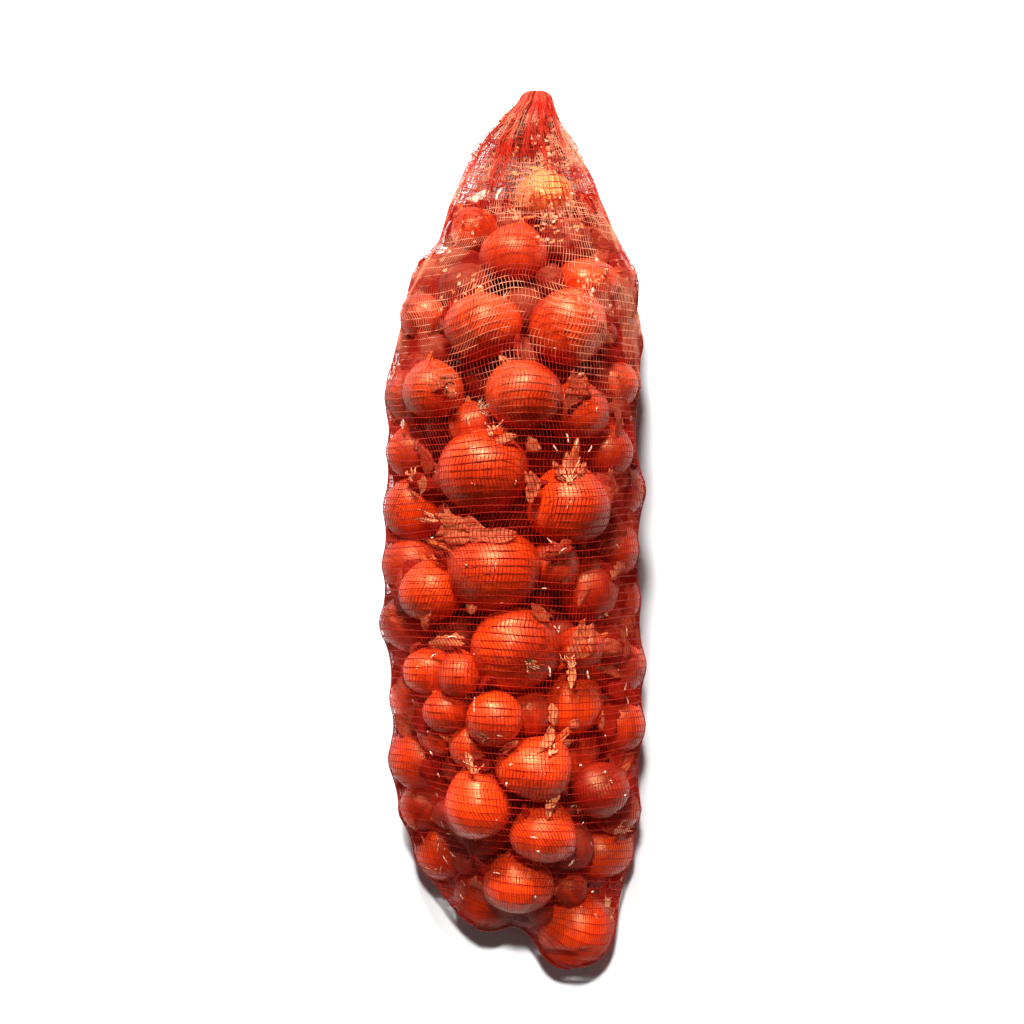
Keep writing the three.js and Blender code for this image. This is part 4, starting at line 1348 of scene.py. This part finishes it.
def make_roots(material):
    """Tufts of dry roots: the ones that show, and one on the root of each onion near the net."""
    net = sack_net()
    rng = np.random.default_rng(41)
    batch = Batch()

    def root(place, forward, normal, length):
        t = np.linspace(0, 1, 5)[:, None]
        aside = np.cross(normal, forward)
        sway = rng.uniform(-0.35, 0.35) * length
        path = place + forward * t * length + aside * sway * t**2
        path = path - normal * rng.uniform(-0.1, 0.3) * length * t**2
        spindle(batch, net.tuck_in(path, 0.4), rng.uniform(0.22, 0.42))

    for x, y, heading, spread, count, length in TUFTS:
        place, normal = net.over(x, y)
        for angle in np.radians(heading + rng.uniform(-0.5, 0.5, count) * spread):
            start = place - normal * 1.5 + rng.uniform(-1.5, 1.5, 3)
            root(start, along_net(normal, angle), normal, length * rng.uniform(0.6, 1.2))
    for onion in packed_onions():
        axis = axis_frame(onion.turn, onion.tip) @ np.array((0, 0, 1.0))
        base = np.array((onion.x, onion.y, onion.z)) - axis * np.array(onion.radii) * 0.94
        across = unit(np.cross(axis, (0.2, 0.5, 0.8)))
        other = np.cross(axis, across)
        for _ in range(ROOTS_PER_ONION):
            angle = rng.uniform(0, 6.3)
            out = across * math.cos(angle) + other * math.sin(angle)
            forward = unit(-axis * rng.uniform(0.2, 1.0) + out * rng.uniform(0.4, 1.0))
            start = base + out * rng.uniform(0.5, 3.0)
            root(start, forward, unit(np.cross(forward, out)), rng.uniform(2.5, 6.0))
    batch.piece("dry_roots", material, "dry_root")


def make_seam(material):
    """The foot's seam: two stitched threads that bind the net's layers, with a stitch at each mesh."""
    net = sack_net()
    seam = net.grid[-1]
    order = np.argsort(seam[:, 0])
    line = seam[order[::2]]
    line = line[np.abs(np.diff(line[:, 0], prepend=line[0, 0] - 1)) > 0.3]
    line = smooth_curve(line, len(line) * 2)
    batch = Batch()
    t = np.arange(len(line))
    for phase, lift in ((0, 0.7), (math.pi, -0.7)):
        wind = t * 0.8 + phase
        path = line + np.stack((0 * t, 0.5 * np.cos(wind) - 0.8, lift + 0.5 * np.sin(wind)), -1)
        spindle(batch, path, 0.7)
    for k in range(2, len(line) - 2, 3):
        a, b = line[k] + (0, 3.0, 2.2), line[k + 1] + (0, 3.0, -2.2)
        path = np.array((a, line[k] + (0, -0.6, 1.6), line[k] + (0, -1.0, 0), line[k] + (0, -0.6, -1.6), b))
        spindle(batch, path, 0.4)
    batch.piece("foot_seam", material, "net")


# ---- Settings ----

def length_setting(name, description, default):
    description = description + ", in millimetres"
    return bpy.props.FloatProperty(name=name, description=description, default=default, min=0)


def number_setting(name, description, default):
    return bpy.props.FloatProperty(name=name, description=description, default=default)


def count_setting(name, description, default):
    return bpy.props.IntProperty(name=name, description=description, default=default)


def colour_setting(name, description, default):
    return bpy.props.FloatVectorProperty(name=name, description=description, default=default, subtype="COLOR",
                                         size=3, min=0, max=1)


class OnionNetSizes(bpy.types.PropertyGroup):
    """Sizes of the net."""

    row_pitch: length_setting("Row pitch", "Spacing of the threads that run round the sack", 6.0)
    columns: count_setting("Columns", "Threads that run along the sack", 196)
    row_width: length_setting("Row width", "Width of the threads that run round the sack", 0.75)
    column_width: length_setting("Column width", "Width of the threads that run along the sack", 0.45)
    thread_thickness: length_setting("Thread thickness", "Thickness of all threads", 0.4)
    zigzag: length_setting("Zigzag", "How far a lengthwise thread swings at each row", 0.22)
    stand_off: length_setting("Stand-off", "Net's distance from the onions", 0.7)
    fold_depth: length_setting("Fold depth", "Depth of the neck's folds at the tip", 4.0)
    unevenness: length_setting("Unevenness", "How far a mesh of the net is off its place", 0.45)
    bunching: number_setting("Bunching", "How much threads bunch in the neck's folds", 0.6)
    clumping: number_setting("Clumping", "How much threads cling together in the neck", 0.85)
    tension_rounds: count_setting("Tension rounds", "Passes that draw the net tight", 4000)
    hoop_share: number_setting("Hoop share", "Share of the pull that runs round the sack", 0.87)


class OnionNetColours(bpy.types.PropertyGroup):
    """Colours of the onions, the net and the floor."""

    skin_light: colour_setting("Light skin", "Palest outer skin", (0.87, 0.050, 0.003))
    skin_dark: colour_setting("Dark skin", "Darkest outer skin", (0.25, 0.004, 0.001))
    gold: colour_setting("Yellow skin", "Skin of the yellowest onions", (0.92, 0.40, 0.10))
    skin_vein: colour_setting("Veins", "Veins and blotches of the skin", (0.15, 0.006, 0.002))
    straw: colour_setting("Dry neck", "Dry neck of an onion", (0.74, 0.17, 0.035))
    root_plate: colour_setting("Root plate", "Brown plate that the roots grow from", (0.20, 0.075, 0.02))
    root: colour_setting("Root", "Dry roots", (0.70, 0.40, 0.18))
    paper: colour_setting("Loose skin", "Loose papery skin", (0.88, 0.27, 0.10))
    strand: colour_setting("Strands", "Papery strands of torn necks", (0.80, 0.23, 0.09))
    sliver: colour_setting("Slivers", "Pale slivers", (0.95, 0.70, 0.50))
    net_deep: colour_setting("Net", "Red of the net", (0.20, 0.005, 0.002))
    # Paler red: rubbed threads, and also the painted brighter net towards the neck.
    net_pale: colour_setting("Net, rubbed", "Rubbed, paler red of the net", (0.48, 0.018, 0.007))
    # Pale salmon: painted sheen on the threads towards the neck.
    net_painted_sheen: colour_setting("Net, frosted", "Pale salmon of the net towards the neck", (0.95, 0.36, 0.20))
    floor: colour_setting("Floor", "Floor", (0.95, 0.95, 0.95))


class OnionNetStage(bpy.types.PropertyGroup):
    """Light and camera."""

    key_power: number_setting("Key light", "Power of the main light", 720.0)
    foot_power: number_setting("Foot light", "Power of the soft light on the foot", 1200.0)
    sky_strength: number_setting("Sky", "Strength of the white surroundings", 0.06)
    lens: length_setting("Lens", "Focal length", 128.6)


# ---- Operators ----

class AddOnions(bpy.types.Operator):
    """Packs the sack with onions"""

    bl_idname = "onion_net.add_onions"
    bl_label = "Onions"

    def execute(self, context):
        make_onions(skin_material(context.scene.onion_net_colours))
        return {"FINISHED"}


class AddNet(bpy.types.Operator):
    """Draws the net tight over the onions"""

    bl_idname = "onion_net.add_net"
    bl_label = "Net"

    def execute(self, context):
        sizes, colours = context.scene.onion_net_sizes, context.scene.onion_net_colours
        # The last number is the share of the painted sheen on the threads.
        make_rows(net_material(colours, "net_rows", 0.1, 0.7), sizes)
        make_columns(net_material(colours, "net_columns", 0.0, 0.55), sizes)
        return {"FINISHED"}


class AddNetEnds(bpy.types.Operator):
    """Folds and gathers the neck of the net and sews its foot"""

    bl_idname = "onion_net.add_net_ends"
    bl_label = "Gathered neck and seam"

    def execute(self, context):
        colours, sizes = context.scene.onion_net_colours, context.scene.onion_net_sizes
        material = net_material(colours, "net_gathered", 0.05, 0.1)
        make_pleats(net_material(colours, "net_folded", 0.05, 0.8), sizes)
        make_gathered(material, sizes)
        make_seam(material)
        return {"FINISHED"}


class AddLooseSkins(bpy.types.Operator):
    """Lays loose papery skins under the net"""

    bl_idname = "onion_net.add_loose_skins"
    bl_label = "Loose skins"

    def execute(self, context):
        material = paper_material(context.scene.onion_net_colours)
        make_loose_skins(material)
        make_side_shade_skins(material)
        return {"FINISHED"}


class AddSliversAndRoots(bpy.types.Operator):
    """Lays pale slivers and dry roots under the net"""

    bl_idname = "onion_net.add_slivers_and_roots"
    bl_label = "Slivers and roots"

    def execute(self, context):
        colours = context.scene.onion_net_colours
        make_slivers(fibre_material(colours, "pale_sliver", colours.sliver, colours.paper, 300.0))
        make_torn_necks(fibre_material(colours, "torn_neck", colours.strand, colours.paper, 150.0))
        make_roots(fibre_material(colours, "dry_root", colours.root, colours.skin_dark, 400.0))
        return {"FINISHED"}


class AddStage(bpy.types.Operator):
    """Adds the floor, the lights and the camera"""

    bl_idname = "onion_net.add_stage"
    bl_label = "Stage"

    def execute(self, context):
        stage, scene = context.scene.onion_net_stage, context.scene
        add_floor(scene.onion_net_colours.floor)
        shift = Vector(sack_net().shift * MM)
        middle = shift + Vector((0, 0, KEY_AT_HEIGHT))
        add_light("key", "AREA", KEY_FROM, middle, stage.key_power, shape="DISK", size=KEY_SIZE)
        add_light("foot_light", "SPOT", FOOT_LIGHT_FROM, shift + Vector(FOOT_LIGHT_AT), stage.foot_power,
                  spot_size=math.radians(FOOT_LIGHT_DEGREES), spot_blend=1.0,
                  shadow_soft_size=FOOT_LIGHT_SOFTNESS)
        world = bpy.data.worlds.new("surroundings")
        scene.world = world
        world.use_nodes = True
        background = world.node_tree.nodes["Background"]
        background.inputs["Color"].default_value = (1, 1, 1, 1)
        background.inputs["Strength"].default_value = stage.sky_strength
        camera = bpy.data.cameras.new("camera")
        camera.lens = stage.lens
        camera.sensor_width = 36
        eye = bpy.data.objects.new("camera", camera)
        eye.location = (np.array(EYE) + EYE_ASIDE + sack_net().shift) * MM
        scene.collection.objects.link(eye)
        scene.camera = eye
        scene.view_settings.view_transform = "Standard"
        return {"FINISHED"}


def add_floor(colour):
    mesh = bpy.data.meshes.new("floor")
    corners = [(x * FLOOR_REACH, y * FLOOR_REACH, 0) for x, y in ((-1, -1), (1, -1), (1, 1), (-1, 1))]
    mesh.from_pydata(corners, [], [(0, 1, 2, 3)])
    r = Recipe("pale_floor")
    patch = r.noise(r.place(), 3.0, 2.0)
    r.finish(r.mix(patch, colour, [min(c * 1.02, 1) for c in colour]), 0.7)
    mesh.materials.append(r.material)
    floor = bpy.data.objects.new("floor", mesh)
    bpy.context.scene.collection.objects.link(floor)


def add_light(name, kind, away, target, power, **settings):
    """Adds a light that stands away from its target and shines at it."""
    light = bpy.data.lights.new(name, kind)
    light.energy = power
    for setting, value in settings.items():
        setattr(light, setting, value)
    lamp = bpy.data.objects.new(name, light)
    lamp.location = Vector(away) + target
    lamp.rotation_euler = (-Vector(away)).to_track_quat("-Z", "Y").to_euler()
    bpy.context.scene.collection.objects.link(lamp)


class OnionNetPanel(bpy.types.Panel):
    """Lists the steps that build the net of onions"""

    bl_idname = "VIEW3D_PT_onion_net"
    bl_label = "Net of Onions"
    bl_space_type = "VIEW_3D"
    bl_region_type = "UI"
    bl_category = "Onion Net"

    def draw(self, context):
        for step in STEPS:
            self.layout.operator(step.bl_idname)
        for group in (context.scene.onion_net_sizes, context.scene.onion_net_colours,
                      context.scene.onion_net_stage):
            box = self.layout.box()
            for name in group.bl_rna.properties.keys():
                if name not in ("rna_type", "name"):
                    box.prop(group, name)


STEPS = (AddOnions, AddNet, AddNetEnds, AddLooseSkins, AddSliversAndRoots, AddStage)
CLASSES = (OnionNetSizes, OnionNetColours, OnionNetStage, *STEPS, OnionNetPanel)


def register():
    for cls in CLASSES:
        bpy.utils.register_class(cls)
    bpy.types.Scene.onion_net_sizes = bpy.props.PointerProperty(type=OnionNetSizes)
    bpy.types.Scene.onion_net_colours = bpy.props.PointerProperty(type=OnionNetColours)
    bpy.types.Scene.onion_net_stage = bpy.props.PointerProperty(type=OnionNetStage)


def unregister():
    for name in ("onion_net_sizes", "onion_net_colours", "onion_net_stage"):
        delattr(bpy.types.Scene, name)
    for cls in reversed(CLASSES):
        bpy.utils.unregister_class(cls)


def main():
    register()
    bpy.ops.onion_net.add_onions()
    bpy.ops.onion_net.add_net()
    bpy.ops.onion_net.add_net_ends()
    bpy.ops.onion_net.add_loose_skins()
    bpy.ops.onion_net.add_slivers_and_roots()
    bpy.ops.onion_net.add_stage()


if __name__ == "__main__":
    main()
